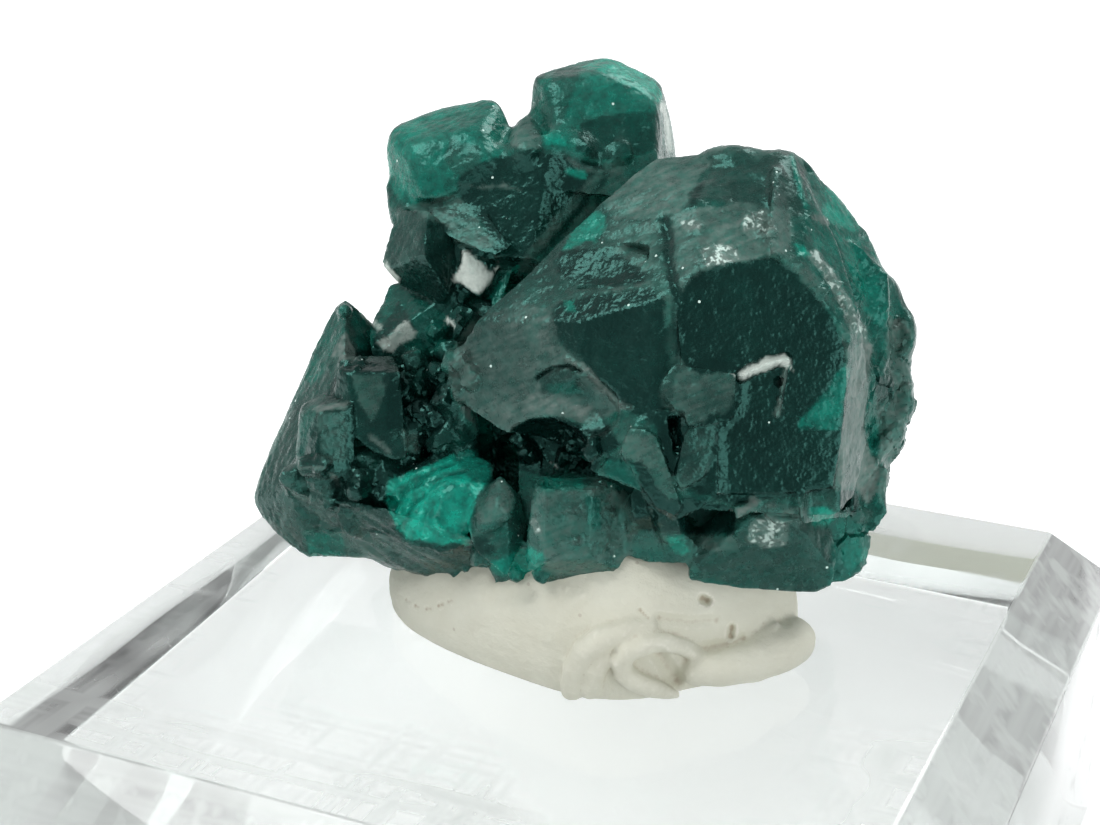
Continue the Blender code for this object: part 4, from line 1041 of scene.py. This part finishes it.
def make_crystals():
    """The fused crystals, with small ones, chips, ridges and broken ground."""
    chance = random.Random(SEED)
    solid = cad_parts["dioptase"].data.copy()
    solid.transform(FRONT_INVERSE @ Matrix.Scale(1 / MM, 4))
    solid.flip_normals()
    work = bmesh.new()
    work.from_mesh(solid)
    bmesh.ops.remove_doubles(work, verts=work.verts, dist=1e-4)
    tree = BVHTree.FromBMesh(work)
    work.to_mesh(solid)
    places = sharp_places(solid, chance)
    spots = inside_by(to_pixels(np.array([list(place) for place, _ in places])), HOLLOW)
    places = [place for place, inside in zip(places, spots) if inside < -UNCHIPPED_REACH]
    works = [work, *map(growth_work, GROWTHS), *map(swelling_work, SWELLINGS)]
    works += small_crystals(tree, chance)
    made, soup = fused("dioptase_crystals", works, CRYSTAL_GRAIN)
    settle(made, soup, CRYSTAL_GRAIN)
    points, _ = mesh_arrays(made.data)
    relax(made.data, points, np.ones(len(points)), EDGE_WEAR)
    wobble = 0.3 * smooth_noise(points, 1.5, SEED + 40)
    relax(made.data, points, patches_weight(points, ROUNDED, wobble), ROUNDS)
    level_out(points)
    crease(points, tree, CREASES)
    set_points(made.data, points)
    points, normals = mesh_arrays(made.data)
    points = points + normals * worn(points)[:, None]
    bitten(points, places, chance)
    set_points(made.data, points)
    points, normals = mesh_arrays(made.data)
    unseen = smooth_step(points[:, 2], *THIN_DEPTHS) + smooth_step(normals[:, 2], *THIN_TURNS)
    thin_out(made, np.clip(unseen, 0, 1))
    points, normals = mesh_arrays(made.data)
    for name, values in zip(LAYERS, paint(points, tree).T):
        write_attribute(made.data, name, values)
    write_attribute(made.data, "edge", edge_sharpness(made.data, points, normals))
    made.data.transform(FRONT)
    made.data.flip_normals()
    made.data.transform(Matrix.Scale(MM, 4))
    made.data.shade_smooth()
    made.data.set_sharp_from_angle(angle=CRYSTAL_CREASE_ANGLE)
    bpy.data.meshes.remove(solid)
    return made


# Putty.

PAD_OUTLINE = [(-5.8, 1.4), (-5.6, -0.4), (-4.2, -2.2), (-2.0, -4.0), (0.4, -5.5), (2.4, -5.7), (4.4, -4.9),
               (6.6, -4.2), (7.6, -2.4), (7.4, 0.8), (5.2, 3.0), (1.4, 3.6), (-3.2, 3.2)]
PAD_LOW_END = -5.5
PAD_HIGH_END = 1.0
PAD_LOW_HEIGHT = 3.2
PAD_HIGH_HEIGHT = 5.0
PAD_LOW_ANGLE = -20
PAD_SQUARENESS = 0.45
PAD_RINGS = 14
PAD_SIDES = 96
PAD_SINK = 0.03
PUTTY_SMOOTHING = 9

PUTTY_LUMPS = (
    ((1.3, -4.3, 1.5), (1.5, 1.5, 1.9), -20),
    ((2.6, -4.7, 0.9), (1.5, 0.9, 0.95), 10),
    ((4.8, -4.0, 0.9), (2.0, 1.0, 0.9), 12),
)

# Rolls of putty on the pad: along a line of pixels, each with its radius and how far its middle stands out.
ROLL_STEPS = 8
ROLLS = (
    ((572, 690, 0.36, 0.05), (575, 668, 0.40, 0.10), (585, 650, 0.42, 0.12), (602, 638, 0.42, 0.10),
     (626, 630, 0.38, 0.04), (648, 626, 0.30, -0.06)),
    ((590, 690, 0.30, 0.02), (593, 672, 0.32, 0.06), (603, 656, 0.30, 0.04)),
    ((624, 672, 0.28, 0.20), (620, 659, 0.32, 0.26), (629, 649, 0.34, 0.30), (646, 643, 0.34, 0.32),
     (666, 642, 0.32, 0.30), (684, 647, 0.26, 0.22), (698, 655, 0.22, 0.10)),
    ((624, 672, 0.30, 0.18), (635, 681, 0.32, 0.24), (650, 686, 0.32, 0.28), (664, 690, 0.26, 0.32),
     (676, 693, 0.14, 0.36)),
    ((696, 670, 0.50, 0.16), (722, 668, 0.56, 0.24), (750, 661, 0.66, 0.30), (776, 648, 0.78, 0.34),
     (790, 640, 0.80, 0.30)),
    ((744, 648, 0.18, 0.20), (760, 638, 0.20, 0.22), (774, 626, 0.20, 0.15)),
)

PUTTY_CREASES = crease_rows((
    (-0.28, 12, [660, 656, 668, 668, 676, 680]),
    (-0.12, 9, [700, 649, 722, 646, 742, 640]),
    (-0.35, 7, [703, 599, 707, 601]),
    (-0.28, 6, [732, 628, 731, 636]),
    (-0.10, 4, [407, 600, 409, 602]),
    (-0.09, 4, [416, 606, 418, 607]),
    (-0.07, 4, [427, 609, 430, 609]),
    (-0.09, 4, [439, 606, 442, 605]),
    (-0.06, 4, [449, 602, 451, 601]),
    (-0.10, 12, [470, 608, 500, 598, 530, 594]),
    (0.08, 12, [550, 640, 560, 615, 582, 596]),
    (-0.10, 8, [660, 618, 690, 622, 715, 620]),
    (-0.05, 4, [640, 610, 648, 618]),
))


def smooth_loop(points, sides):
    """Points along a smooth closed curve (a Catmull-Rom spline) through the given points."""
    count = len(points)
    loop = []
    for index in range(sides):
        place = index * count / sides
        step = int(place)
        share = place - step
        before, start, end, after = (Vector(points[(step + offset) % count]) for offset in (-1, 0, 1, 2))
        loop.append(0.5 * (2 * start + (end - before) * share
                           + (2 * before - 5 * start + 4 * end - after) * share ** 2
                           + (3 * start - 3 * end + after - before) * share ** 3))
    return loop


def pad_work():
    """The putty pad, from rings that swell at its side and close over its top, in the upright frame."""
    work = bmesh.new()
    outline = smooth_loop(PAD_OUTLINE, PAD_SIDES)
    middle = sum(outline, Vector((0, 0))) / len(outline)
    low = math.sin(math.radians(PAD_LOW_ANGLE))
    rings = []
    for level in range(PAD_RINGS):
        rise = math.radians(PAD_LOW_ANGLE + (90 - PAD_LOW_ANGLE) * level / PAD_RINGS)
        swell = math.cos(rise) ** PAD_SQUARENESS
        ring = []
        for corner in outline:
            place = middle + (corner - middle) * swell
            share = min(max((place.x - PAD_LOW_END) / (PAD_HIGH_END - PAD_LOW_END), 0), 1)
            height = PAD_LOW_HEIGHT + (PAD_HIGH_HEIGHT - PAD_LOW_HEIGHT) * share
            ring.append(work.verts.new((*place, height * (math.sin(rise) - low) / (1 - low) - PAD_SINK)))
        rings.append(ring)
    for lower, upper in zip(rings, rings[1:]):
        for index in range(PAD_SIDES):
            after = (index + 1) % PAD_SIDES
            work.faces.new((lower[index], lower[after], upper[after], upper[index]))
    work.faces.new(rings[0])
    work.faces.new(rings[-1])
    return work


def front_tree(works):
    """A tree of some solids of the upright frame, as they stand in the front view."""
    points, faces = [], []
    to_front = FRONT_INVERSE @ stand_to_part()
    for work in works:
        work.verts.index_update()
        first = len(points)
        points += [to_front @ vert.co for vert in work.verts]
        faces += [[first + vert.index for vert in face.verts] for face in work.faces]
    return BVHTree.FromPolygons(points, faces)


def lump_work(at, radii, turn):
    """A lump of putty, cut off flat at the base's top."""
    work = bmesh.new()
    turned = Matrix.Rotation(math.radians(turn), 4, "Z")
    bmesh.ops.create_icosphere(work, subdivisions=3, radius=1,
                               matrix=Matrix.Translation(at) @ turned @ Matrix.Diagonal((*radii, 1)))
    cut_away(work, Vector((0, 0, -PAD_SINK)), Vector((0, 0, -1)))
    return work


def roll_works(tree):
    """The rolls, as balls close together along their lines, on the pad that the tree holds."""
    back = (FRONT_INVERSE @ stand_to_part()).inverted()
    works = []
    for roll in ROLLS:
        for start, end in zip(roll, roll[1:]):
            for step in range(ROLL_STEPS):
                share = step / (ROLL_STEPS - 1)
                u, v, radius, out = (low + (high - low) * share for low, high in zip(start, end))
                place, _ = hit_at(tree, u, v)
                if place is not None:
                    works.append(lump_work(back @ (place - Vector((0, 0, out))), [radius] * 3, 0))
    return works


def make_putty():
    """The putty, in one kneaded piece."""
    works = [pad_work()] + [lump_work(*lump) for lump in PUTTY_LUMPS]
    tree = front_tree(works)
    works += roll_works(tree)
    made, soup = fused("kneaded_putty", works, PUTTY_GRAIN)
    bpy.data.meshes.remove(soup)
    smooth = made.modifiers.new("smooth", "SMOOTH")
    smooth.iterations = PUTTY_SMOOTHING
    apply_modifiers(made)
    points, normals = mesh_arrays(made.data)
    free = smooth_step(points[:, 2], 0.0, 0.4)
    shift = 0.06 * smooth_noise(points, 1.6, SEED + 30) + 0.02 * rough_noise(points, 0.5, SEED + 31)
    points = points + normals * (shift * free)[:, None]
    set_points(made.data, points)
    to_front = FRONT_INVERSE @ stand_to_part()
    made.data.transform(to_front)
    points, _ = mesh_arrays(made.data)
    crease(points, tree_of(made.data), PUTTY_CREASES)
    set_points(made.data, points)
    made.data.transform(to_front.inverted())
    thin_out(made)
    points, normals = mesh_arrays(made.data)
    write_attribute(made.data, "edge", edge_sharpness(made.data, points, normals))
    made.data.transform(stand_to_part())
    made.data.transform(Matrix.Scale(MM, 4))
    made.data.shade_smooth()
    return made


# Base.

EDGE_ROUND = 0.12
BASE_CREASE_ANGLE = math.radians(25)

# A face is on a bevel where its normal's upward share is between these.
BEVEL_RISES = (0.3, 0.95)


def make_base():
    """The clear block, with its edges just broken by polishing."""
    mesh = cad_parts["acrylic_base"].data.copy()
    work = bmesh.new()
    work.from_mesh(mesh)
    bmesh.ops.remove_doubles(work, verts=work.verts, dist=1e-6)
    bmesh.ops.dissolve_limit(work, angle_limit=math.radians(1), verts=work.verts, edges=work.edges)
    bmesh.ops.bevel(work, geom=work.edges[:], offset=EDGE_ROUND * MM, segments=3, profile=0.5,
                    affect="EDGES")
    work.to_mesh(mesh)
    work.free()
    made = object_of("clear_base", mesh)
    mesh.shade_smooth()
    mesh.set_sharp_from_angle(angle=BASE_CREASE_ANGLE)
    layer = mesh.attributes.new("bevel", "FLOAT", "FACE")
    for face, value in zip(mesh.polygons, layer.data):
        value.value = float(BEVEL_RISES[0] < face.normal.z < BEVEL_RISES[1])
    return made


# Materials. A scale is in bumps per metre.

COLOUR_SOCKETS = (6, 7)
COLOUR_RESULT = 2
STREAK_DEPTH = 3
POLISH_LONG = 45
POLISH_FINE = 1100


class Nodes:
    """A short way to write nodes."""

    def __init__(self, tree):
        self.tree = tree

    def add(self, kind, settings=None, **inputs):
        node = self.tree.nodes.new(kind)
        for name, value in (settings or {}).items():
            setattr(node, name, value)
        for name, value in inputs.items():
            self.put(node.inputs[name.replace("_", " ")], value)
        return node

    def put(self, socket, value):
        if isinstance(value, bpy.types.NodeSocket):
            self.tree.links.new(value, socket)
        else:
            if hasattr(value, "__len__") and len(value) == 3 and len(socket.default_value) == 4:
                value = (*value, 1.0)
            socket.default_value = value

    def combine(self, kind, operation, first, second=None):
        node = self.add(kind, {"operation": operation})
        self.put(node.inputs[0], first)
        if second is not None:
            self.put(node.inputs[1], second)
        return node.outputs["Value"]

    def math(self, operation, first, second=None):
        return self.combine("ShaderNodeMath", operation, first, second)

    def times(self, *values):
        product = values[0]
        for value in values[1:]:
            product = self.math("MULTIPLY", product, value)
        return product

    def larger(self, first, second):
        return self.math("MAXIMUM", first, second)

    def along(self, place, axis):
        return self.combine("ShaderNodeVectorMath", "DOT_PRODUCT", place, axis)

    def blend(self, share, first, second):
        node = self.add("ShaderNodeMix", {"data_type": "RGBA"}, Factor=share)
        self.put(node.inputs[COLOUR_SOCKETS[0]], first)
        self.put(node.inputs[COLOUR_SOCKETS[1]], second)
        return node.outputs[COLOUR_RESULT]

    def ramp(self, value, low, high, to_low=0.0, to_high=1.0):
        return self.add("ShaderNodeMapRange", Value=value, From_Min=low, From_Max=high, To_Min=to_low,
                        To_Max=to_high).outputs[0]


class Surface(Nodes):
    """A material whose nodes lead to one principled shader."""

    def __init__(self, name):
        self.material = bpy.data.materials.new(name)
        self.material.use_nodes = True
        super().__init__(self.material.node_tree)
        self.shader = self.tree.nodes["Principled BSDF"]

    def give(self, **values):
        """Link or set the shader's sockets."""
        for name, value in values.items():
            self.put(self.shader.inputs[name.replace("_", " ")], value)

    def absorb(self, colour, density):
        clear = self.add("ShaderNodeVolumeAbsorption", Color=colour, Density=density)
        self.put(self.tree.nodes["Material Output"].inputs["Volume"], clear.outputs[0])

    def place(self):
        return self.add("ShaderNodeTexCoord").outputs["Object"]

    def noise(self, scale, detail=3, roughness=0.5):
        return self.add("ShaderNodeTexNoise", Vector=self.place(), Scale=scale, Detail=detail,
                        Roughness=roughness).outputs["Fac"]

    def drawn_out(self, places):
        """Noise at a place that is given by its three distances, each in its own grain."""
        where = self.add("ShaderNodeCombineXYZ", X=places[0], Y=places[1], Z=places[2])
        return self.add("ShaderNodeTexNoise", Vector=where.outputs[0], Scale=1.0, Detail=2.0).outputs["Fac"]

    def streaks(self, bearing, pitch, stretch):
        """Noise drawn out along a bearing of the front view, in degrees, with a pitch in millimetres."""
        place, turn, to_part = self.place(), math.radians(bearing), FRONT.to_3x3()
        axes = ((math.cos(turn), math.sin(turn), 0), (-math.sin(turn), math.cos(turn), 0), (0, 0, 1))
        spreads = (stretch, 1, STREAK_DEPTH)
        return self.drawn_out([self.along(place, to_part @ Vector(axis) / (pitch * spread * MM))
                               for axis, spread in zip(axes, spreads)])

    def axis_streaks(self, place, along, across):
        """Noise drawn out along one of the part's level axes."""
        scales = ((along, POLISH_LONG), (across, POLISH_FINE), (2, POLISH_FINE))
        return self.drawn_out([self.times(place.outputs[axis], scale) for axis, scale in scales])

    def flecks(self, scale, radius, rarity):
        """Small round flecks, in the share of cells whose own number is over rarity."""
        cells = self.add("ShaderNodeTexVoronoi", Vector=self.place(), Scale=scale)
        inside = self.math("LESS_THAN", cells.outputs["Distance"], radius)
        number = self.add("ShaderNodeSeparateColor", Color=cells.outputs["Color"]).outputs[0]
        return self.times(inside, self.math("GREATER_THAN", number, rarity))

    def attribute(self, name):
        return self.add("ShaderNodeAttribute", {"attribute_name": name}).outputs["Fac"]

    def bump(self, height, distance):
        return self.add("ShaderNodeBump", Height=height, Distance=distance, Strength=1.0).outputs["Normal"]


BODY_DEEP = (0.0015, 0.050, 0.041)
BODY_LIGHT = (0.004, 0.150, 0.115)
# Brighter green, partly the crystals' own and partly painted light shining through them.
BODY_GLOW = (0.005, 0.62, 0.44)
BODY_SPOT = (0.0008, 0.030, 0.025)
# Colour of the painted shade.
BODY_SHADE = (0.0005, 0.006, 0.0055)
# Gray of the haze and of the painted sheen.
HAZE_AND_SHEEN_COLOUR = (0.195, 0.215, 0.202)
EDGE_PALE_COLOUR = (0.085, 0.22, 0.185)
# Near white of the painted highlights.
PALE_HIGHLIGHT_COLOUR = (0.78, 0.84, 0.78)
# White of the flecks and of the painted glints.
FLECK_AND_GLINT_COLOUR = (0.62, 0.78, 0.72)
SPECULAR_TINT = (0.30, 0.90, 0.78)
SPECULAR_LEVEL = 0.20
CRYSTAL_IOR = 1.66
CRYSTAL_CLEARNESS = 0.50
CRYSTAL_ABSORPTION = (0.0, 0.84, 0.81)
CRYSTAL_DENSITY = 1300.0
PIT_DEPTH = 0.00005


def crystal_material():
    """Clear green, with glow, painted shade, haze and painted sheen, painted highlights and glints, and flecks
    where the points are painted, and paler along sharp edges.
    """
    make = Surface("dioptase_emerald")
    glow, shade, haze, pale, sparkle, edge = (make.attribute(name) for name in (*LAYERS, "edge"))
    cloud, spots, fine = make.noise(520, 2, 0.6), make.noise(2300, 3, 0.72), make.noise(3400, 2, 0.7)
    body = make.blend(make.ramp(cloud, 0.34, 0.66), BODY_DEEP, BODY_LIGHT)
    # Glow: brighter green, partly painted light shining through the crystal.
    body = make.blend(make.ramp(glow, 0.0, 1.0, 0.0, 0.95), body, BODY_GLOW)
    body = make.blend(make.ramp(spots, 0.34, 0.66, 0.35, 1.0), BODY_SPOT, body)
    # Painted shade: darker where the shade layer is painted.
    body = make.blend(make.times(shade, 0.94), body, BODY_SHADE)
    # Gray haze, and painted sheen where faces mirror the lights, drawn out in streaks.
    streak = make.times(make.ramp(make.streaks(22, 0.14, 9), 0.36, 0.64, 0.62, 1.0),
                        make.ramp(cloud, 0.36, 0.60, 0.62, 1.0))
    streaked_haze_and_sheen = make.times(haze, make.times(streak, make.ramp(fine, 0.38, 0.62, 0.6, 1.0)))
    # Paler along sharp edges, less so where shade is painted.
    pale_edge = make.times(make.ramp(edge, 0.10, 0.34), 0.5, make.ramp(spots, 0.42, 0.6),
                           make.ramp(shade, 0.3, 0.9, 1.0, 0.15))
    # Painted glints where sparkle is painted, and small white flecks, a few of them elsewhere.
    glint = make.times(make.ramp(fine, 0.53, 0.62), make.ramp(sparkle, 0.5, 1.0))
    fleck_and_glint = make.larger(make.flecks(2900, 0.12, make.ramp(sparkle, 0.0, 1.0, 0.995, 0.60)), glint)
    colour = make.blend(streaked_haze_and_sheen, body, HAZE_AND_SHEEN_COLOUR)
    colour = make.blend(pale_edge, colour, EDGE_PALE_COLOUR)
    # Painted highlights, near white, where the pale layer is painted.
    colour = make.blend(make.times(pale, make.ramp(fine, 0.3, 0.7, 0.7, 1.0)), colour, PALE_HIGHLIGHT_COLOUR)
    # Where sheen, glow, glints and highlights are painted, the crystal is less clear, so that their colour
    # shows.
    opaque_share = make.math("ADD", make.times(streaked_haze_and_sheen, 0.5), make.times(glow, 0.15))
    opaque_share = make.math("ADD", opaque_share, make.times(make.larger(fleck_and_glint, pale), 0.5))
    clear = make.math("MAXIMUM", make.math("SUBTRACT", CRYSTAL_CLEARNESS, opaque_share), 0.0)
    rough = make.math("ADD", make.ramp(spots, 0.3, 0.7, 0.16, 0.30), make.times(streaked_haze_and_sheen, 0.25))
    make.give(Base_Color=make.blend(fleck_and_glint, colour, FLECK_AND_GLINT_COLOUR), Transmission_Weight=clear,
              Roughness=rough, IOR=CRYSTAL_IOR, Specular_IOR_Level=SPECULAR_LEVEL,
              Specular_Tint=SPECULAR_TINT, Normal=make.bump(make.noise(2600, 2, 0.68), PIT_DEPTH))
    make.absorb(CRYSTAL_ABSORPTION, CRYSTAL_DENSITY)
    return make.material


PUTTY_LIGHT = (0.70, 0.70, 0.60)
PUTTY_DARK = (0.64, 0.63, 0.525)
PUTTY_CREASE_COLOUR = (0.42, 0.35, 0.26)
PUTTY_EDGE_COLOUR = (0.88, 0.86, 0.78)
PUTTY_SPECK = (0.45, 0.40, 0.33)
PRINT_DEPTH = 0.00004


def putty_material():
    """Off-white, browner and darker in its creases, lighter on its edges, with specks and faint lines of
    finger prints.
    """
    make = Surface("off_white_putty")
    edge = make.attribute("edge")
    colour = make.blend(make.ramp(make.noise(350, 4, 0.6), 0.35, 0.7), PUTTY_LIGHT, PUTTY_DARK)
    # Browner and darker in creases, lighter on edges.
    colour = make.blend(make.ramp(edge, -0.05, -0.26, 0.0, 0.7), colour, PUTTY_CREASE_COLOUR)
    colour = make.blend(make.ramp(edge, 0.05, 0.2, 0.0, 0.6), colour, PUTTY_EDGE_COLOUR)
    colour = make.blend(make.times(make.flecks(1500, 0.09, 0.80), 0.5), colour, PUTTY_SPECK)
    height = make.math("ADD", make.noise(4200, 3, 0.65), make.times(make.streaks(-20, 0.22, 7), 0.5))
    make.give(Base_Color=colour, Roughness=make.ramp(make.noise(1600), 0.3, 0.7, 0.55, 0.75),
              Specular_IOR_Level=0.3, Normal=make.bump(height, PRINT_DEPTH))
    return make.material


ACRYLIC_IOR = 1.49
ACRYLIC_CLEAR = (1.0, 1.0, 1.0)
ACRYLIC_DULL_AND_SHADE = (0.55, 0.60, 0.57)
ACRYLIC_ABSORPTION = (0.80, 0.92, 0.88)
ACRYLIC_DENSITY = 8.0
WAVE_DEPTH = 0.0001

# The top's scuffs, which also paint shade near its edges, grow between these distances from its middle, and
# between these heights.
RIM_GRAY_FROM = (0.0075, 0.0125)
RIM_GRAY_HEIGHTS = (0.0125, 0.0127)


def acrylic_material():
    """Clear, with gray polishing streaks on its bevels, gray scuffs and painted shade near the top's edges,
    and fine scratches.
    """
    make = Surface("clear_acrylic")
    scratch = make.ramp(make.streaks(-28, 0.10, 60), 0.68, 0.76)
    rough = make.larger(make.ramp(make.noise(420, 2, 0.7), 0.50, 0.8, 0.0, 0.12), make.times(scratch, 0.2))
    place = make.add("ShaderNodeSeparateXYZ", Vector=make.place())
    out = make.larger(make.math("ABSOLUTE", place.outputs[0]), make.math("ABSOLUTE", place.outputs[1]))
    streak = make.larger(make.axis_streaks(place, 0, 1), make.axis_streaks(place, 1, 0))
    cloud = make.ramp(make.noise(130, 2, 0.6), 0.42, 0.62)
    # Gray near the top's edges: scuffs, and painted shade.
    rim = make.times(make.ramp(out, *RIM_GRAY_FROM), make.ramp(place.outputs[2], *RIM_GRAY_HEIGHTS), cloud,
                     make.ramp(streak, 0.40, 0.62, 0.15, 0.55))
    bevel = make.times(make.attribute("bevel"), make.ramp(streak, 0.40, 0.66, 0.30, 0.68))
    dull_and_shade = make.larger(bevel, rim)
    make.give(Base_Color=make.blend(dull_and_shade, ACRYLIC_CLEAR, ACRYLIC_DULL_AND_SHADE), IOR=ACRYLIC_IOR, Roughness=rough,
              Transmission_Weight=make.math("SUBTRACT", 1.0, dull_and_shade),
              Normal=make.bump(make.noise(90, 1), WAVE_DEPTH))
    make.absorb(ACRYLIC_ABSORPTION, ACRYLIC_DENSITY)
    return make.material


# Studio.

DARK_SIDE_BEARING = SPECIMEN_TURN - math.pi / 2 + math.radians(22)
DARK_SIDE_RISE = math.radians(14)
DARK_SIDE_SPREAD = (80, 45)
DARK_SIDE_COLOUR = (0.42, 0.43, 0.43)
WALL_COLOUR = (0.62, 0.63, 0.63)
BACKDROP_COLOUR = (1, 1, 1)
OVERHEAD_COLOUR = (0.50, 0.51, 0.51)
OVERHEAD_SPREAD = (75, 35)
FLOOR_SIDE = 4.0
FLOOR_HEIGHT = -0.00002
FLOOR_GLOW = 0.46
FLOOR_COLOUR = (0.85, 0.86, 0.86)
CLIP_START = 0.001


def make_world():
    """A pale surround, dimmer overhead, with a soft dark side in front, and a white backdrop."""
    world = bpy.data.worlds.new("studio")
    bpy.context.scene.world = world
    world.use_nodes = True
    world.node_tree.nodes.clear()
    make = Nodes(world.node_tree)
    where = make.add("ShaderNodeTexCoord").outputs["Generated"]

    def share_towards(direction, widest, narrowest):
        """1 within an angle of a direction and 0 beyond a wider one."""
        low, high = (math.cos(math.radians(angle)) for angle in (widest, narrowest))
        return make.add("ShaderNodeMapRange", {"interpolation_type": "SMOOTHSTEP"},
                        Value=make.along(where, direction), From_Min=low, From_Max=high).outputs[0]

    level = math.cos(DARK_SIDE_RISE)
    front = (math.cos(DARK_SIDE_BEARING) * level, math.sin(DARK_SIDE_BEARING) * level,
             math.sin(DARK_SIDE_RISE))
    colour = make.blend(share_towards((0, 0, 1), *OVERHEAD_SPREAD), WALL_COLOUR, OVERHEAD_COLOUR)
    colour = make.blend(share_towards(front, *DARK_SIDE_SPREAD), colour, DARK_SIDE_COLOUR)
    shown = (make.add("ShaderNodeLightPath").outputs["Is Camera Ray"],
             make.add("ShaderNodeBackground", Color=colour).outputs[0],
             make.add("ShaderNodeBackground", Color=BACKDROP_COLOUR).outputs[0])
    choose = make.add("ShaderNodeMixShader")
    for socket, value in zip(choose.inputs, shown):
        make.put(socket, value)
    make.add("ShaderNodeOutputWorld", Surface=choose.outputs[0])


# Lights: place, what they point at, width in metres, and watts.
LIGHTS = {
    "key_light": ((-0.18, -0.17, 0.37), (0, 0, 0.015), 0.26, 0.95),
    "fill_light": ((0.34, -0.20, 0.12), (0, 0, 0.015), 0.24, 0.42),
    "back_light": ((0.08, 0.30, 0.34), (0, 0, 0.02), 0.26, 0.7),
}


def make_light(name, at, towards, side, watts):
    data = bpy.data.lights.new(name, "AREA")
    data.shape = "DISK"
    data.size = side
    data.energy = watts
    lamp = bpy.data.objects.new(name, data)
    lamp.location = at
    lamp.rotation_mode = "QUATERNION"
    lamp.rotation_quaternion = (Vector(towards) - Vector(at)).to_track_quat("-Z", "Y")
    bpy.context.scene.collection.objects.link(lamp)


def make_floor():
    bpy.ops.mesh.primitive_plane_add(size=FLOOR_SIDE, location=(0, 0, FLOOR_HEIGHT))
    floor = bpy.context.object
    floor.name = "floor"
    make = Surface("pale_floor")
    make.give(Base_Color=FLOOR_COLOUR, Emission_Color=(1.0, 1.0, 1.0), Emission_Strength=FLOOR_GLOW,
              Roughness=0.6, Specular_IOR_Level=0.2)
    floor.data.materials.append(make.material)


def make_camera():
    data = bpy.data.cameras.new("camera")
    data.lens = CAMERA_LENS
    data.sensor_width = SENSOR_WIDTH
    data.clip_start = CLIP_START
    camera = bpy.data.objects.new("camera", data)
    camera.location = stand_to_part() @ Vector(CAMERA_OFFSET) * MM
    camera.rotation_euler = (math.pi / 2 - SIGHT_DROP, 0, SPECIMEN_TURN)
    bpy.context.scene.collection.objects.link(camera)
    bpy.context.scene.camera = camera


def dress(piece, material, node):
    piece.data.materials.clear()
    piece.data.materials.append(material)
    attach(piece, "root")
    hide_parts(node)


def main():
    make_camera()
    make_world()
    make_floor()
    for name, settings in LIGHTS.items():
        make_light(name, *settings)
    dress(make_crystals(), crystal_material(), "dioptase")
    dress(make_putty(), putty_material(), "mineral_tack")
    dress(make_base(), acrylic_material(), "acrylic_base")
    bpy.context.scene.view_settings.view_transform = "Standard"


main()
